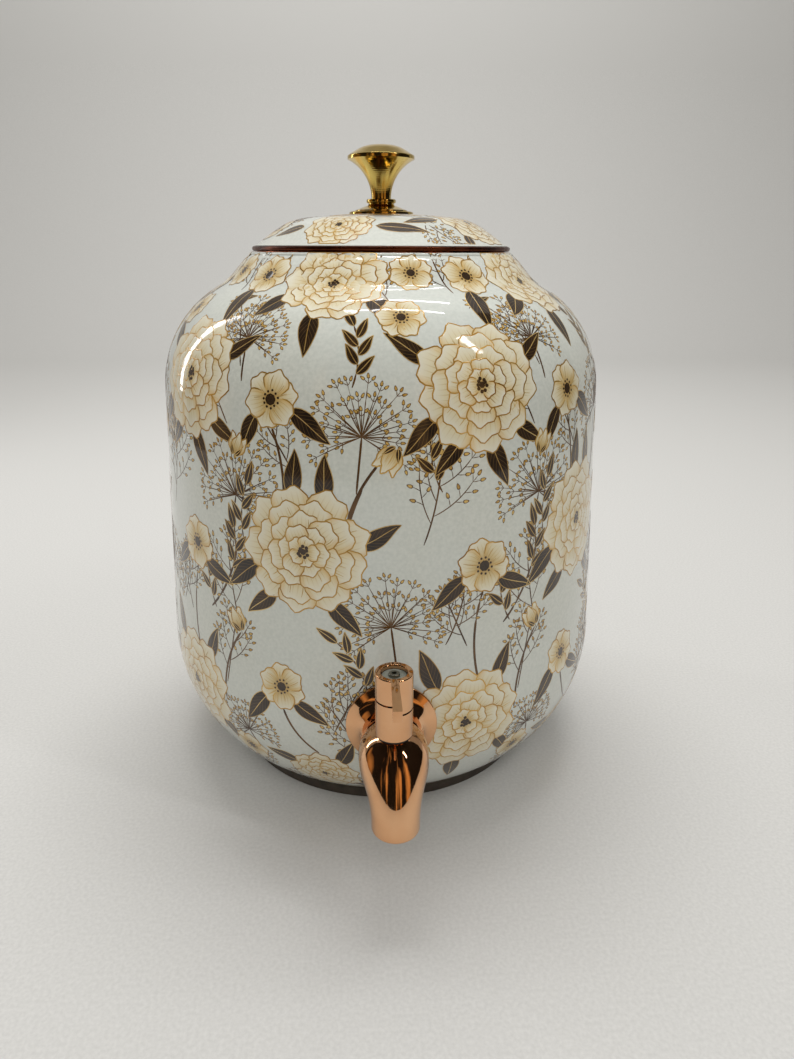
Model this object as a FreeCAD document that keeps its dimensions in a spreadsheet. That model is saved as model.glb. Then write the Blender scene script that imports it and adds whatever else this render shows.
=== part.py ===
"""Water pot with a lift-off lid and a quarter-turn tap.

The pot is a copper vessel, spun and brazed, on a foot ring, closed by a spun lid with a turned brass knob. Its tap
is a cast body with a curved horn spout, held through the wall by a nut, with a ceramic disc valve
under a lever handle. Millimetres, +Z up, origin on the pot's axis at the table, tap towards -Y.
"""
import FreeCAD, Part
import math
import os
import re

import Sketcher
from FreeCAD import Placement, Rotation, Vector

# Driving dimensions: name, value, meaning. Outline corners are sharp corners that curves round off.
SIZES = [
    ("sheet_gauge", 1.0, "thickness of the vessel's sheet"),
    ("foot_height", 6.0, "height of the foot ring, and of the base above the table"),
    ("foot_gauge", 1.4, "thickness of the foot ring's sheet"),
    ("foot_inset", 0.5, "how far the foot ring stands inside the edge of the base"),
    ("foot_flange_width", 9.0, "width of the foot ring's flange under the base"),
    ("foot_bend_radius", 2.2, "outer bend between the foot ring and its flange"),
    ("base_radius", 82.8, "edge of the flat base"),
    ("base_bend_radius", 3.0, "outer bend at the edge of the base"),
    ("belly_radius", 117.0, "radius of the corner between belly and wall"),
    ("belly_height", 31.3, "height of the corner between belly and wall"),
    ("belly_flat", 1.82, "flat left between the base's bend and the belly's curve, from their corner"),
    ("wall_height", 198.5, "height from the belly's corner to the shoulder's"),
    ("wall_taper", 9.9, "how much narrower the wall is at the shoulder"),
    ("base_seam_rise", 27.0, "brazed seam between base and wall, above the tap's axis"),
    ("neck_seam_drop", 1.0, "brazed seam between wall and neck, below the shoulder's curve"),
    ("shoulder_curve_radius", 55.0, "curve that rounds off the shoulder"),
    ("shoulder_reach", 31.9, "how far the shoulder runs in to the neck's corner"),
    ("shoulder_rise", 18.3, "how far the shoulder rises to the neck's corner"),
    ("neck_curve_radius", 16.0, "hollow curve between shoulder and neck"),
    ("neck_reach", 11.2, "how far the neck runs in to the mouth"),
    ("neck_rise", 12.5, "how far the neck rises to the mouth"),
    ("mouth_roll_radius", 1.6, "section of the rolled edge round the mouth"),
    ("mouth_roll_inset", 1.3, "middle of the rolled edge inside the neck's end"),
    ("mouth_roll_drop", 1.0, "middle of the rolled edge below the neck's end"),
    ("rest_gap", 0.3, "running gap between a loose piece and what it rests on"),
    ("lid_gauge", 1.0, "thickness of the lid's sheet"),
    ("lid_bead_radius", 1.1, "section of the bare ring round the lid"),
    ("lid_set_in", 1.1, "how far the lid's ring lies inside the mouth's rolled edge"),
    ("lid_edge_height", 1.5, "height of the lid's sheet where it enters its ring"),
    ("lid_height", 15.4, "height of the crown above the ring's centre"),
    ("crown_margin", 6.5, "flat of the crown outside the knob's disc"),
    ("crown_curve_radius", 120.0, "curve of the crown"),
    ("lid_flank_reach", 17.8, "distance from the ring's circle in to the lid's shoulder"),
    ("lid_shoulder_height", 13.2, "height of the corner between crown and flank"),
    ("lid_shoulder_curve", 30.0, "curve that rounds off the lid's shoulder"),
    ("skirt_clearance", 0.8, "play of the lid's skirt in the mouth"),
    ("skirt_depth", 10.0, "how far the skirt reaches below the lid's ring"),
    ("skirt_gauge", 0.8, "thickness of the skirt"),
    ("skirt_bend_radius", 1.6, "outer bend at the foot of the skirt"),
    ("skirt_lip_width", 2.6, "width of the lip turned in at the foot of the skirt"),
    ("braze_gap", 0.05, "gap that the braze fills"),
    ("rosette_radius", 15.5, "disc under the knob"),
    ("rosette_thickness", 1.4, "thickness of the disc under the knob"),
    ("knob_height", 30.5, "top of the knob above the crown"),
    ("knob_rim_radius", 15.9, "widest radius of the knob"),
    ("knob_rim_height", 24.3, "height at which the trumpet reaches the rim"),
    ("knob_edge_height", 1.5, "height of the rim's edge"),
    ("knob_dome_radius", 8.0, "radius of the corner between the knob's bevel and its flat top"),
    ("knob_dome_curve", 16.0, "curve that rounds off the knob's top"),
    ("knob_waist_radius", 4.7, "narrowest radius of the knob"),
    ("knob_waist_height", 18.9, "height at which the waist and the rim's underside would meet"),
    ("knob_trumpet_curve", 18.8, "hollow curve between waist and rim"),
    ("knob_collar_radius", 7.1, "collar below the waist"),
    ("knob_collar_low", 5.2, "underside of the collar"),
    ("knob_collar_high", 7.0, "top of the collar"),
    ("knob_hollow_radius", 6.2, "narrowest radius between the knob's foot and its collar"),
    ("knob_hollow_height", 4.4, "where the foot's slope would meet that radius"),
    ("knob_hollow_curve", 1.0, "hollow curve between the knob's foot and its collar"),
    ("knob_collar_curve", 0.6, "rounded edges of the collar"),
    ("knob_flare_radius", 12.6, "foot of the knob on its disc"),
    ("knob_screw_radius", 2.5, "knob screw's shank"),
    ("knob_screw_length", 13.0, "how far the knob screw enters the knob"),
    ("knob_screw_head_radius", 4.6, "knob screw's head"),
    ("knob_screw_head_height", 3.0, "knob screw's head"),
    ("knob_washer_radius", 8.0, "washer under the lid"),
    ("knob_washer_thickness", 1.0, "washer under the lid"),
    ("screw_hole_clearance", 0.3, "play round a screw's shank"),
    ("thread_gap", 0.05, "gap between threaded or pushed-together pieces of one group"),
    ("tap_height", 67.0, "tap's axis above the table"),
    ("shank_radius", 6.0, "threaded shank through the wall"),
    ("shank_reach", 18.0, "how far the shank reaches in from the wall's face"),
    ("shank_hole_clearance", 0.4, "play of the shank in the wall"),
    ("inlet_radius", 4.0, "bore through the shank"),
    ("flange_radius", 20.0, "outside of the tap's flange"),
    ("flange_edge", 1.2, "thickness of the flange's edge"),
    ("flange_depth", 7.5, "front of the flange, from its edge's back"),
    ("flange_nose_radius", 13.0, "front of the flange"),
    ("flange_recess_radius", 17.4, "recess that holds the outer gasket"),
    ("flange_recess_depth", 1.6, "recess that holds the outer gasket"),
    ("flange_gap", 0.3, "gap between the flange's edge and the wall's face"),
    ("inner_gasket_radius", 13.0, "gasket inside the wall"),
    ("inner_gasket_least", 0.7, "least thickness of the inner gasket, behind the curved wall"),
    ("clamp_washer_thickness", 1.2, "washer between the inner gasket and the nut"),
    ("nut_across_flats", 21.0, "lock nut"),
    ("nut_thickness", 6.5, "lock nut"),
    ("body_neck_radius", 11.5, "tap body where it leaves the flange"),
    ("bulb_radius", 14.4, "widest part of the tap body"),
    ("spout_radius", 9.8, "outside of the spout's end"),
    ("spout_reach", 40.0, "spout's axis in front of the wall's face"),
    ("spout_drop", 22.0, "spout's end below the tap's axis"),
    ("spout_bend_radius", 20.5, "bend of the horn, along its middle"),
    ("nozzle_step", 0.15, "how much smaller the turned end of the spout is than the horn"),
    ("spout_edge_radius", 1.2, "rounded edge at the spout's end"),
    ("outlet_radius", 7.6, "opening of the spout"),
    ("outlet_depth", 6.0, "depth of the spout's wide opening"),
    ("valve_offset", 25.0, "valve's axis in front of the wall's face"),
    ("chamber_radius", 6.5, "valve chamber"),
    ("chamber_depth", 10.0, "floor of the valve chamber below the tap's axis"),
    ("well_radius", 4.7, "well under the valve seat"),
    ("well_depth", 1.0, "well under the valve seat"),
    ("port_radius", 2.8, "passage from the well to the spout"),
    ("bonnet_seat_height", 12.0, "flat on the body that the bonnet sits on, above the tap's axis"),
    ("bonnet_seat_margin", 0.5, "how far that flat reaches round the bonnet"),
    ("bonnet_radius", 7.6, "bonnet sleeve and handle"),
    ("bonnet_top", 24.8, "top of the bonnet above the tap's axis"),
    ("bonnet_spigot_length", 6.5, "screwed part of the bonnet in the chamber"),
    ("bonnet_edge", 0.4, "chamfer at the foot of the bonnet"),
    ("bonnet_seal_thickness", 0.6, "rubber ring between bonnet and body"),
    ("bonnet_seal_radius", 7.2, "outside of that ring"),
    ("thrust_bore_radius", 4.9, "recess for the spindle's collar"),
    ("thrust_bore_height", 9.0, "top of that recess above the tap's axis"),
    ("stop_rise", 4.0, "height of the stop sector on the bonnet"),
    ("stop_inner_radius", 5.2, "inside of the stop sector and of the handle's skirt"),
    ("stop_play_angle", 2.0, "angle left between stop and skirt"),
    ("handle_turn", 90.0, "angle from closed to open"),
    ("seam_gap", 0.8, "open seam between bonnet and handle"),
    ("seat_seal_thickness", 1.0, "rubber ring under the fixed disc"),
    ("disc_radius", 6.1, "ceramic discs"),
    ("disc_thickness", 2.5, "ceramic discs"),
    ("disc_gap", 0.05, "film between the ceramic discs"),
    ("disc_port_inner", 1.8, "inner radius of the discs' ports"),
    ("disc_port_outer", 4.7, "outer radius of the discs' ports"),
    ("disc_port_angle", 74.0, "width of the discs' ports"),
    ("tang_width", 2.8, "driving tang of the spindle"),
    ("tang_length", 9.0, "driving tang of the spindle"),
    ("tang_depth", 1.0, "slot for the tang in the moving disc"),
    ("stem_radius", 2.4, "spindle between tang and collar"),
    ("collar_radius", 4.6, "spindle's thrust collar"),
    ("collar_low", 5.6, "underside of the thrust collar above the tap's axis"),
    ("collar_thickness", 2.2, "spindle's thrust collar"),
    ("thrust_washer_thickness", 0.9, "slip ring above the thrust collar"),
    ("spindle_radius", 3.5, "spindle in the bonnet"),
    ("spindle_fit", 0.05, "radial running clearance of the spindle"),
    ("ring_cord", 0.9, "section of the O-rings"),
    ("ring_groove_width", 1.4, "O-ring grooves"),
    ("ring_low", 13.0, "lower O-ring above the tap's axis"),
    ("ring_pitch", 5.0, "distance between the O-rings"),
    ("drive_radius", 2.6, "spindle's end in the handle"),
    ("drive_flat", 1.9, "distance of the drive's two flats from its axis"),
    ("drive_low", 26.5, "start of the spindle's end above the tap's axis"),
    ("drive_top", 36.6, "end of the spindle above the tap's axis"),
    ("handle_top", 40.7, "top of the handle above the tap's axis"),
    ("recess_radius", 5.2, "recess in the handle's top"),
    ("recess_depth", 2.4, "recess in the handle's top"),
    ("handle_edge_radius", 0.5, "rounded upper edge of the handle"),
    ("lever_reach", 27.6, "end of the lever from the valve's axis"),
    ("lever_root_width", 3.0, "lever at the handle"),
    ("lever_end_width", 3.6, "lever at its end"),
    ("lever_thickness", 4.6, "height of the lever"),
    ("cap_disc_thickness", 0.6, "plain disc under the handle screw"),
    ("cap_disc_margin", 0.15, "gap round that disc"),
    ("handle_screw_radius", 1.5, "handle screw's shank"),
    ("handle_screw_length", 7.0, "how far the handle screw enters the spindle"),
    ("handle_screw_head_radius", 2.3, "handle screw's head"),
    ("handle_screw_head_height", 1.2, "handle screw's head"),
    ("key_radius", 1.0, "socket in the handle screw"),
]
NAMES = {name for name, _, _ in SIZES}

# Places worked out from the sizes
BELLY_RISE = "(belly_height - foot_height)"
BELLY_REACH = "(belly_radius - base_radius)"
BELLY_TURN = f"(90 deg + atan(wall_taper / wall_height) - atan({BELLY_RISE} / {BELLY_REACH}))"
BELLY_RUN = f"(sqrt({BELLY_RISE}^2 + {BELLY_REACH}^2) - belly_flat)"
BELLY_CURVE = f"({BELLY_RUN} / tan({BELLY_TURN} / 2))"
SHOULDER_RADIUS = "(belly_radius - wall_taper)"
SHOULDER_HEIGHT = "(belly_height + wall_height)"
SHOULDER_TURN = "(atan(shoulder_reach / shoulder_rise) - atan(wall_taper / wall_height))"
SHOULDER_RUN = f"(shoulder_curve_radius * tan({SHOULDER_TURN} / 2))"
NECK_RADIUS = f"({SHOULDER_RADIUS} - shoulder_reach)"
NECK_HEIGHT = f"({SHOULDER_HEIGHT} + shoulder_rise)"
MOUTH_RADIUS = f"({NECK_RADIUS} - neck_reach)"
MOUTH_HEIGHT = f"({NECK_HEIGHT} + neck_rise)"
ROLL_CENTRE = f"({MOUTH_RADIUS} - mouth_roll_inset)"
ROLL_HEIGHT = f"({MOUTH_HEIGHT} - mouth_roll_drop)"
LID_RING = f"({ROLL_CENTRE} - lid_set_in)"
LID_REACH = "(mouth_roll_radius + rest_gap + lid_bead_radius)"
LID_PLANE = f"({ROLL_HEIGHT} + sqrt({LID_REACH}^2 - lid_set_in^2))"
CROWN = f"({LID_PLANE} + lid_height)"
FLANK_SLOPE = "((lid_shoulder_height - lid_edge_height) / lid_flank_reach)"
SKIRT_RADIUS = f"({ROLL_CENTRE} - mouth_roll_radius - skirt_clearance)"



def wall_radius(height):
    """Outside of the straight wall at a height."""
    return f"(belly_radius - wall_taper * (({height}) - belly_height) / wall_height)"


def belly_dip(height):
    """How far the belly's curve lies inside the line of the straight wall at a height."""
    below = f"max(0; belly_height + {BELLY_RUN} - ({height}))"
    return f"({BELLY_CURVE} - sqrt({BELLY_CURVE}^2 - {below}^2))"


WALL_FACE = f"({wall_radius('tap_height')} - {belly_dip('tap_height')})"
WALL_SLANT = "sqrt(wall_height^2 + wall_taper^2)"
BASE_SEAM = "(tap_height + base_seam_rise)"
NECK_SEAM = f"({SHOULDER_HEIGHT} - {SHOULDER_RUN} - neck_seam_drop)"
INNER_BACK = (
    "(sheet_gauge + inner_gasket_least + inner_gasket_radius^2 / (2 * belly_radius)"
    f" + {belly_dip('tap_height - inner_gasket_radius')} - {belly_dip('tap_height')})"
)
SKIRT_TOP = (
    f"(lid_edge_height + {FLANK_SLOPE} * ({LID_RING} - {SKIRT_RADIUS})"
    f" - lid_gauge * sqrt(1 + {FLANK_SLOPE} * {FLANK_SLOPE}) - braze_gap)"
)
FIXED_LOW = "(seat_seal_thickness - chamber_depth)"
MOVING_LOW = f"({FIXED_LOW} + disc_thickness + disc_gap)"
MOVING_TOP = f"({MOVING_LOW} + disc_thickness)"
BONNET_LOW = "(bonnet_seat_height + bonnet_seal_thickness)"
HANDLE_LOW = "(bonnet_top + stop_rise + seam_gap)"
RECESS_FLOOR = "(handle_top - recess_depth)"
SPINDLE_BORE = "(spindle_radius + spindle_fit)"
GROOVE_FLOOR = "(spindle_radius - ring_cord)"

# Sharp corners of the spun outlines from axis to edge: radius, height and the curve that rounds them
BASE_OUTLINE = [
    ("0", "foot_height"),
    ("base_radius", "foot_height", "base_bend_radius"),
    ("belly_radius", "belly_height", BELLY_CURVE),
]
NECK_OUTLINE = [
    (SHOULDER_RADIUS, SHOULDER_HEIGHT, "shoulder_curve_radius"),
    (NECK_RADIUS, NECK_HEIGHT, "neck_curve_radius"),
    (MOUTH_RADIUS, MOUTH_HEIGHT),
]
POT_OUTLINE = BASE_OUTLINE + NECK_OUTLINE
FOOT_OUTLINE = [
    ("base_radius - foot_inset - foot_flange_width", "foot_height"),
    ("base_radius - foot_inset", "foot_height", "foot_bend_radius"),
    ("base_radius - foot_inset", "0"),
]
LID_OUTLINE = [
    ("0", "lid_height"),
    ("rosette_radius + crown_margin", "lid_height", "crown_curve_radius"),
    (f"{LID_RING} - lid_flank_reach", "lid_shoulder_height", "lid_shoulder_curve"),
    (LID_RING, "lid_edge_height"),
]
SKIRT_OUTLINE = [
    (SKIRT_RADIUS, SKIRT_TOP),
    (SKIRT_RADIUS, "-skirt_depth", "skirt_bend_radius"),
    (f"{SKIRT_RADIUS} - skirt_lip_width", "-skirt_depth"),
]

doc = FreeCAD.newDocument("WaterPot")
sheet = doc.addObject("Spreadsheet::Sheet", "Sizes")
pieces = []


def fill_sheet():
    for row, (name, size, meaning) in enumerate(SIZES, start=1):
        sheet.set(f"A{row}", name)
        sheet.set(f"B{row}", str(size))
        sheet.set(f"C{row}", meaning)
        sheet.setAlias(f"B{row}", name)
    doc.recompute()


def bound(text):
    """An expression whose size names point to the sheet's cells."""

    def refer(match):
        word = match.group(0)
        return f"Sizes.{word}" if word in NAMES else word

    return re.sub(r"[a-z_]+", refer, text)


def value(text):
    return float(sheet.evalExpression(bound(text)))


def new_body(label, keep=True):
    body = doc.addObject("PartDesign::Body", label)
    body.Label = label
    if keep:
        pieces.append(body)
    return body


def origin_part(body, role):
    return next(part for part in body.Origin.OriginFeatures if part.Role == role)


def new_sketch(body, name, plane="XZ_Plane", height=None, turn=None):
    """A sketch on a plane of its body's origin, lifted off it by height or turned about its V axis."""
    sketch = body.newObject("Sketcher::SketchObject", name)
    sketch.AttachmentSupport = [(origin_part(body, plane), "")]
    sketch.MapMode = "FlatFace"
    if height:
        sketch.setExpression("AttachmentOffset.Base.z", bound(height))
    if turn:
        sketch.AttachmentOffset = Placement(Vector(), Rotation(Vector(0, 1, 0), value(turn)))
        sketch.setExpression("AttachmentOffset.Rotation.Angle", bound(turn))
    return sketch


def dimension(sketch, *args):
    """A constraint whose last argument is the expression that sets its value."""
    *where, text = args
    index = sketch.addConstraint(Sketcher.Constraint(*where, value(text)))
    sketch.setExpression(f"Constraints[{index}]", bound(text))


def place_point(sketch, geometry, end, x, y):
    dimension(sketch, "DistanceX", -1, 1, geometry, end, x)
    dimension(sketch, "DistanceY", -1, 1, geometry, end, y)


def corner_point(corner):
    return Vector(value(corner[0]), value(corner[1]), 0)


def draw_corners(sketch, corners, closed=True):
    """Lines through the corners, each corner rounded off where it names a curve. Returns the curves."""
    count = len(corners)
    lines = count if closed else count - 1
    for index in range(lines):
        start = corner_point(corners[index])
        finish = corner_point(corners[(index + 1) % count])
        sketch.addGeometry(Part.LineSegment(start, finish))
    for index in range(lines if closed else lines - 1):
        sketch.addConstraint(
            Sketcher.Constraint("Coincident", index, 2, (index + 1) % lines, 1)
        )
    for index, corner in enumerate(corners):
        geometry, end = (index, 1) if index < lines else (lines - 1, 2)
        place_point(sketch, geometry, end, corner[0], corner[1])
    curves = {}
    for index, corner in enumerate(corners):
        if len(corner) == 3:
            curves[index] = sketch.GeometryCount
            sketch.fillet(index, 1, value(corner[2]), True, True)
            dimension(sketch, "Radius", curves[index], corner[2])
    return curves


def draw_inset(sketch, corners, curves, gauge, side):
    """A second chain of lines and curves, one gauge to the left (1) or right (-1) of the first."""
    outline = sketch.Geometry
    step = value(gauge)
    chain = []
    for index in range(len(corners) - 1):
        line = outline[index]
        along = (line.EndPoint - line.StartPoint).normalize()
        shift = Vector(-along.y, along.x, 0) * step * side
        inset = Part.LineSegment(line.StartPoint + shift, line.EndPoint + shift)
        chain.append(sketch.addGeometry(inset))
    for index, curve in curves.items():
        arc = outline[curve]
        before = outline[index - 1].EndPoint
        forward = (arc.StartPoint - before).Length < (arc.EndPoint - before).Length
        inward = side if forward else -side
        radius = arc.Radius - step * inward
        circle = Part.Circle(arc.Center, Vector(0, 0, 1), radius)
        inset = Part.ArcOfCircle(circle, arc.FirstParameter, arc.LastParameter)
        bend = sketch.addGeometry(inset)
        sign = "-" if inward > 0 else "+"
        sketch.addConstraint(Sketcher.Constraint("Coincident", bend, 3, curve, 3))
        dimension(sketch, "Radius", bend, f"{corners[index][2]} {sign} {gauge}")
        first, last = (1, 2) if forward else (2, 1)
        sketch.addConstraint(
            Sketcher.Constraint("Tangent", chain[index - 1], 2, bend, first)
        )
        sketch.addConstraint(Sketcher.Constraint("Tangent", bend, last, chain[index], 1))
    sketch.addConstraint(Sketcher.Constraint("Parallel", 0, chain[0]))
    sketch.addConstraint(Sketcher.Constraint("Parallel", len(corners) - 2, chain[-1]))
    return chain


def draw_cap(sketch, line, end, inset):
    """Closes the sheet's section at one end of the chain, square to it."""
    here = sketch.getPoint(line, end)
    there = sketch.getPoint(inset, end)
    cap = sketch.addGeometry(Part.LineSegment(here, there))
    sketch.addConstraint(Sketcher.Constraint("Coincident", cap, 1, line, end))
    sketch.addConstraint(Sketcher.Constraint("Coincident", cap, 2, inset, end))
    sketch.addConstraint(Sketcher.Constraint("Perpendicular", cap, line))


def draw_sheet_section(sketch, corners, gauge, side):
    curves = draw_corners(sketch, corners, closed=False)
    chain = draw_inset(sketch, corners, curves, gauge, side)
    draw_cap(sketch, 0, 1, chain[0])
    draw_cap(sketch, len(corners) - 2, 2, chain[-1])


def draw_inside(sketch, corners, gauge, side):
    """The solid space inside a sheet outline: the outline is only a guide, its inset is closed."""
    curves = draw_corners(sketch, corners, closed=False)
    guides = list(range(len(corners) - 1)) + list(curves.values())
    chain = draw_inset(sketch, corners, curves, gauge, side)
    for guide in guides:
        sketch.setConstruction(guide, True)
    foot = sketch.getPoint(chain[0], 1)
    mouth = sketch.getPoint(chain[-1], 2)
    top = Vector(0, mouth.y, 0)
    across = sketch.addGeometry(Part.LineSegment(mouth, top))
    down = sketch.addGeometry(Part.LineSegment(top, foot))
    joins = [(chain[-1], 2, across, 1), (across, 2, down, 1), (down, 2, chain[0], 1)]
    for join in joins:
        sketch.addConstraint(Sketcher.Constraint("Coincident", *join))
    sketch.addConstraint(Sketcher.Constraint("Horizontal", across))
    sketch.addConstraint(Sketcher.Constraint("PointOnObject", across, 2, -2))
    sketch.addConstraint(Sketcher.Constraint("PointOnObject", down, 2, -2))
    dimension(sketch, "DistanceY", -1, 1, across, 1, corners[-1][1])


def draw_circle(sketch, x, y, radius):
    circle = Part.Circle(Vector(value(x), value(y), 0), Vector(0, 0, 1), value(radius))
    index = sketch.addGeometry(circle)
    place_point(sketch, index, 3, x, y)
    dimension(sketch, "Radius", index, radius)


def turn_profile(body, sketch, name, cut=False, angle=None):
    """Revolves a sketch about its vertical axis, all the way round or through an angle."""
    kind = "PartDesign::Groove" if cut else "PartDesign::Revolution"
    turned = body.newObject(kind, name)
    turned.Profile = sketch
    turned.ReferenceAxis = (sketch, ["V_Axis"])
    turned.Angle = 360
    if angle:
        turned.setExpression("Angle", bound(angle))
    body.Tip = turned
    return turned


def turned_piece(label, corners, keep=True):
    """A turned piece: its half section is drawn and revolved about the vertical axis."""
    body = new_body(label, keep)
    sketch = new_sketch(body, f"{label}_section")
    draw_corners(sketch, corners)
    turn_profile(body, sketch, f"{label}_turned")
    return body


def spun_piece(label, corners, gauge, side):
    body = new_body(label)
    sketch = new_sketch(body, f"{label}_section")
    draw_sheet_section(sketch, corners, gauge, side)
    turn_profile(body, sketch, f"{label}_spun")
    return body


def ring_corners(inner, outer, low, high):
    return [(inner, low), (outer, low), (outer, high), (inner, high)]


def oblong(half_width, half_length):
    """Corners of a rectangle about the origin."""
    return [
        (f"-{half_width}", f"-{half_length}"),
        (half_width, f"-{half_length}"),
        (half_width, half_length),
        (f"-{half_width}", half_length),
    ]


def move(obj, x="0", y="0", z="0"):
    for axis, text in (("x", x), ("y", y), ("z", z)):
        if text != "0":
            obj.setExpression(f"Placement.Base.{axis}", bound(text))


def set_on_valve(body):
    """Stands a piece on the valve's axis, its heights counted from the tap's axis."""
    move(body, y=f"-({WALL_FACE} + valve_offset)", z="tap_height")


def set_on_tap(obj):
    """Lays a piece on the tap's axis: its Z runs out from the wall's face, its Y points up."""
    obj.Placement = Placement(Vector(), Rotation(Vector(1, 0, 0), 90))
    move(obj, y=f"-{WALL_FACE}", z="tap_height")


def pad(body, sketch, length, name, cut=False, reverse=False):
    kind = "PartDesign::Pocket" if cut else "PartDesign::Pad"
    feature = body.newObject(kind, name)
    feature.Profile = sketch
    feature.Reversed = reverse
    feature.setExpression("Length", bound(length))
    body.Tip = feature
    return feature


def boolean(kind, label, base, tool):
    result = doc.addObject(kind, label)
    result.Label = label
    result.Base = base
    result.Tool = tool
    pieces.append(result)
    return result


def make_vessel():
    """Spun base with the hole for the tap's shank, rolled wall, and spun neck with a rolled mouth."""
    seam = (wall_radius(BASE_SEAM), BASE_SEAM)
    base = spun_piece("vessel_base", BASE_OUTLINE + [seam], "sheet_gauge", 1)
    hole = new_sketch(base, "shank_hole_outline")
    draw_circle(hole, "0", "tap_height", "shank_radius + shank_hole_clearance")
    pad(base, hole, "belly_radius + flange_edge", "shank_hole", cut=True, reverse=True)

    outside = []
    for height in (f"{BASE_SEAM} + braze_gap", f"{NECK_SEAM} - braze_gap"):
        outside.append((wall_radius(height), height))
    inside = [
        (
            f"{radius} - sheet_gauge * wall_height / {WALL_SLANT}",
            f"{height} - sheet_gauge * wall_taper / {WALL_SLANT}",
        )
        for radius, height in reversed(outside)
    ]
    turned_piece("vessel_wall", outside + inside)

    seam = (wall_radius(NECK_SEAM), NECK_SEAM)
    neck = spun_piece("vessel_neck", [seam] + NECK_OUTLINE, "sheet_gauge", 1)
    roll = new_sketch(neck, "mouth_roll_section")
    draw_circle(roll, ROLL_CENTRE, ROLL_HEIGHT, "mouth_roll_radius")
    turn_profile(neck, roll, "mouth_roll")


def make_foot_ring():
    spun_piece("foot_ring", FOOT_OUTLINE, "foot_gauge", -1)


def make_lid():
    """Spun dome, its bare ring, its locating skirt and the hole for the knob's screw."""
    dome = spun_piece("lid_shell", LID_OUTLINE, "lid_gauge", -1)
    hole = new_sketch(dome, "knob_hole_outline", "XY_Plane")
    draw_circle(hole, "0", "0", "knob_screw_radius + screw_hole_clearance")
    pad(dome, hole, "lid_height + lid_gauge", "knob_hole", cut=True, reverse=True)
    move(dome, z=LID_PLANE)

    bead = doc.addObject("Part::Torus", "lid_ring_blank")
    bead.setExpression("Radius1", bound(LID_RING))
    bead.setExpression("Radius2", bound("lid_bead_radius"))
    move(bead, z=LID_PLANE)
    boolean("Part::Cut", "lid_rim_ring", bead, dome)

    skirt = spun_piece("lid_skirt", SKIRT_OUTLINE, "skirt_gauge", -1)
    move(skirt, z=LID_PLANE)


def make_knob():
    """Turned brass knob on its disc, with the screw and washer that hold it to the lid."""
    hole = "knob_screw_radius + screw_hole_clearance"
    rosette = turned_piece(
        "knob_rosette",
        [
            (hole, "0"),
            ("rosette_radius", "0"),
            ("rosette_radius", "rosette_thickness", "rosette_thickness / 2"),
            (hole, "rosette_thickness"),
        ],
    )
    thread = "knob_screw_radius + thread_gap"
    deep = "knob_screw_length + rosette_thickness + thread_gap"
    foot = "rosette_thickness"
    edge = "knob_rim_height + knob_edge_height"
    knob = turned_piece(
        "knob",
        [
            (thread, foot),
            ("knob_flare_radius", foot),
            ("knob_flare_radius", f"{foot} + knob_collar_curve"),
            ("knob_hollow_radius", "knob_hollow_height", "knob_hollow_curve"),
            ("knob_hollow_radius", "knob_collar_low"),
            ("knob_collar_radius", "knob_collar_low", "knob_collar_curve"),
            ("knob_collar_radius", "knob_collar_high", "knob_collar_curve"),
            ("knob_waist_radius", "knob_collar_high"),
            ("knob_waist_radius", "knob_waist_height", "knob_trumpet_curve"),
            ("knob_rim_radius", "knob_rim_height"),
            ("knob_rim_radius", edge, "knob_edge_height / 2"),
            ("knob_dome_radius", "knob_height", "knob_dome_curve"),
            ("0", "knob_height"),
            ("0", deep),
            (thread, deep),
        ],
    )
    washer = turned_piece(
        "knob_washer",
        ring_corners(hole, "knob_washer_radius", "0", "knob_washer_thickness"),
    )
    screw = turned_piece(
        "knob_screw",
        [
            ("0", "-knob_screw_head_height"),
            ("knob_screw_head_radius", "-knob_screw_head_height", "knob_screw_head_height / 2"),
            ("knob_screw_head_radius", "0"),
            ("knob_screw_radius", "0"),
            (
                "knob_screw_radius",
                "knob_washer_thickness + lid_gauge + rosette_thickness + knob_screw_length",
            ),
            (
                "0",
                "knob_washer_thickness + lid_gauge + rosette_thickness + knob_screw_length",
            ),
        ],
    )
    move(rosette, z=CROWN)
    move(knob, z=CROWN)
    move(washer, z=f"{CROWN} - lid_gauge - knob_washer_thickness")
    move(screw, z=f"{CROWN} - lid_gauge - knob_washer_thickness")


def make_tap_flange():
    """Bell-shaped flange, hollow behind for the gasket, that slides over the shank."""
    bore = "shank_radius + thread_gap"
    flange = turned_piece(
        "tap_flange",
        [
            (bore, "flange_gap + flange_recess_depth"),
            ("flange_recess_radius", "flange_gap + flange_recess_depth"),
            ("flange_recess_radius", "flange_gap"),
            ("flange_radius", "flange_gap"),
            ("flange_radius", "flange_gap + flange_edge", "flange_edge / 3"),
            ("flange_nose_radius + 2", "flange_gap + flange_depth * 0.5", "flange_depth"),
            ("flange_nose_radius", "flange_gap + flange_depth"),
            (bore, "flange_gap + flange_depth"),
        ],
    )
    set_on_tap(flange)


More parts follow.
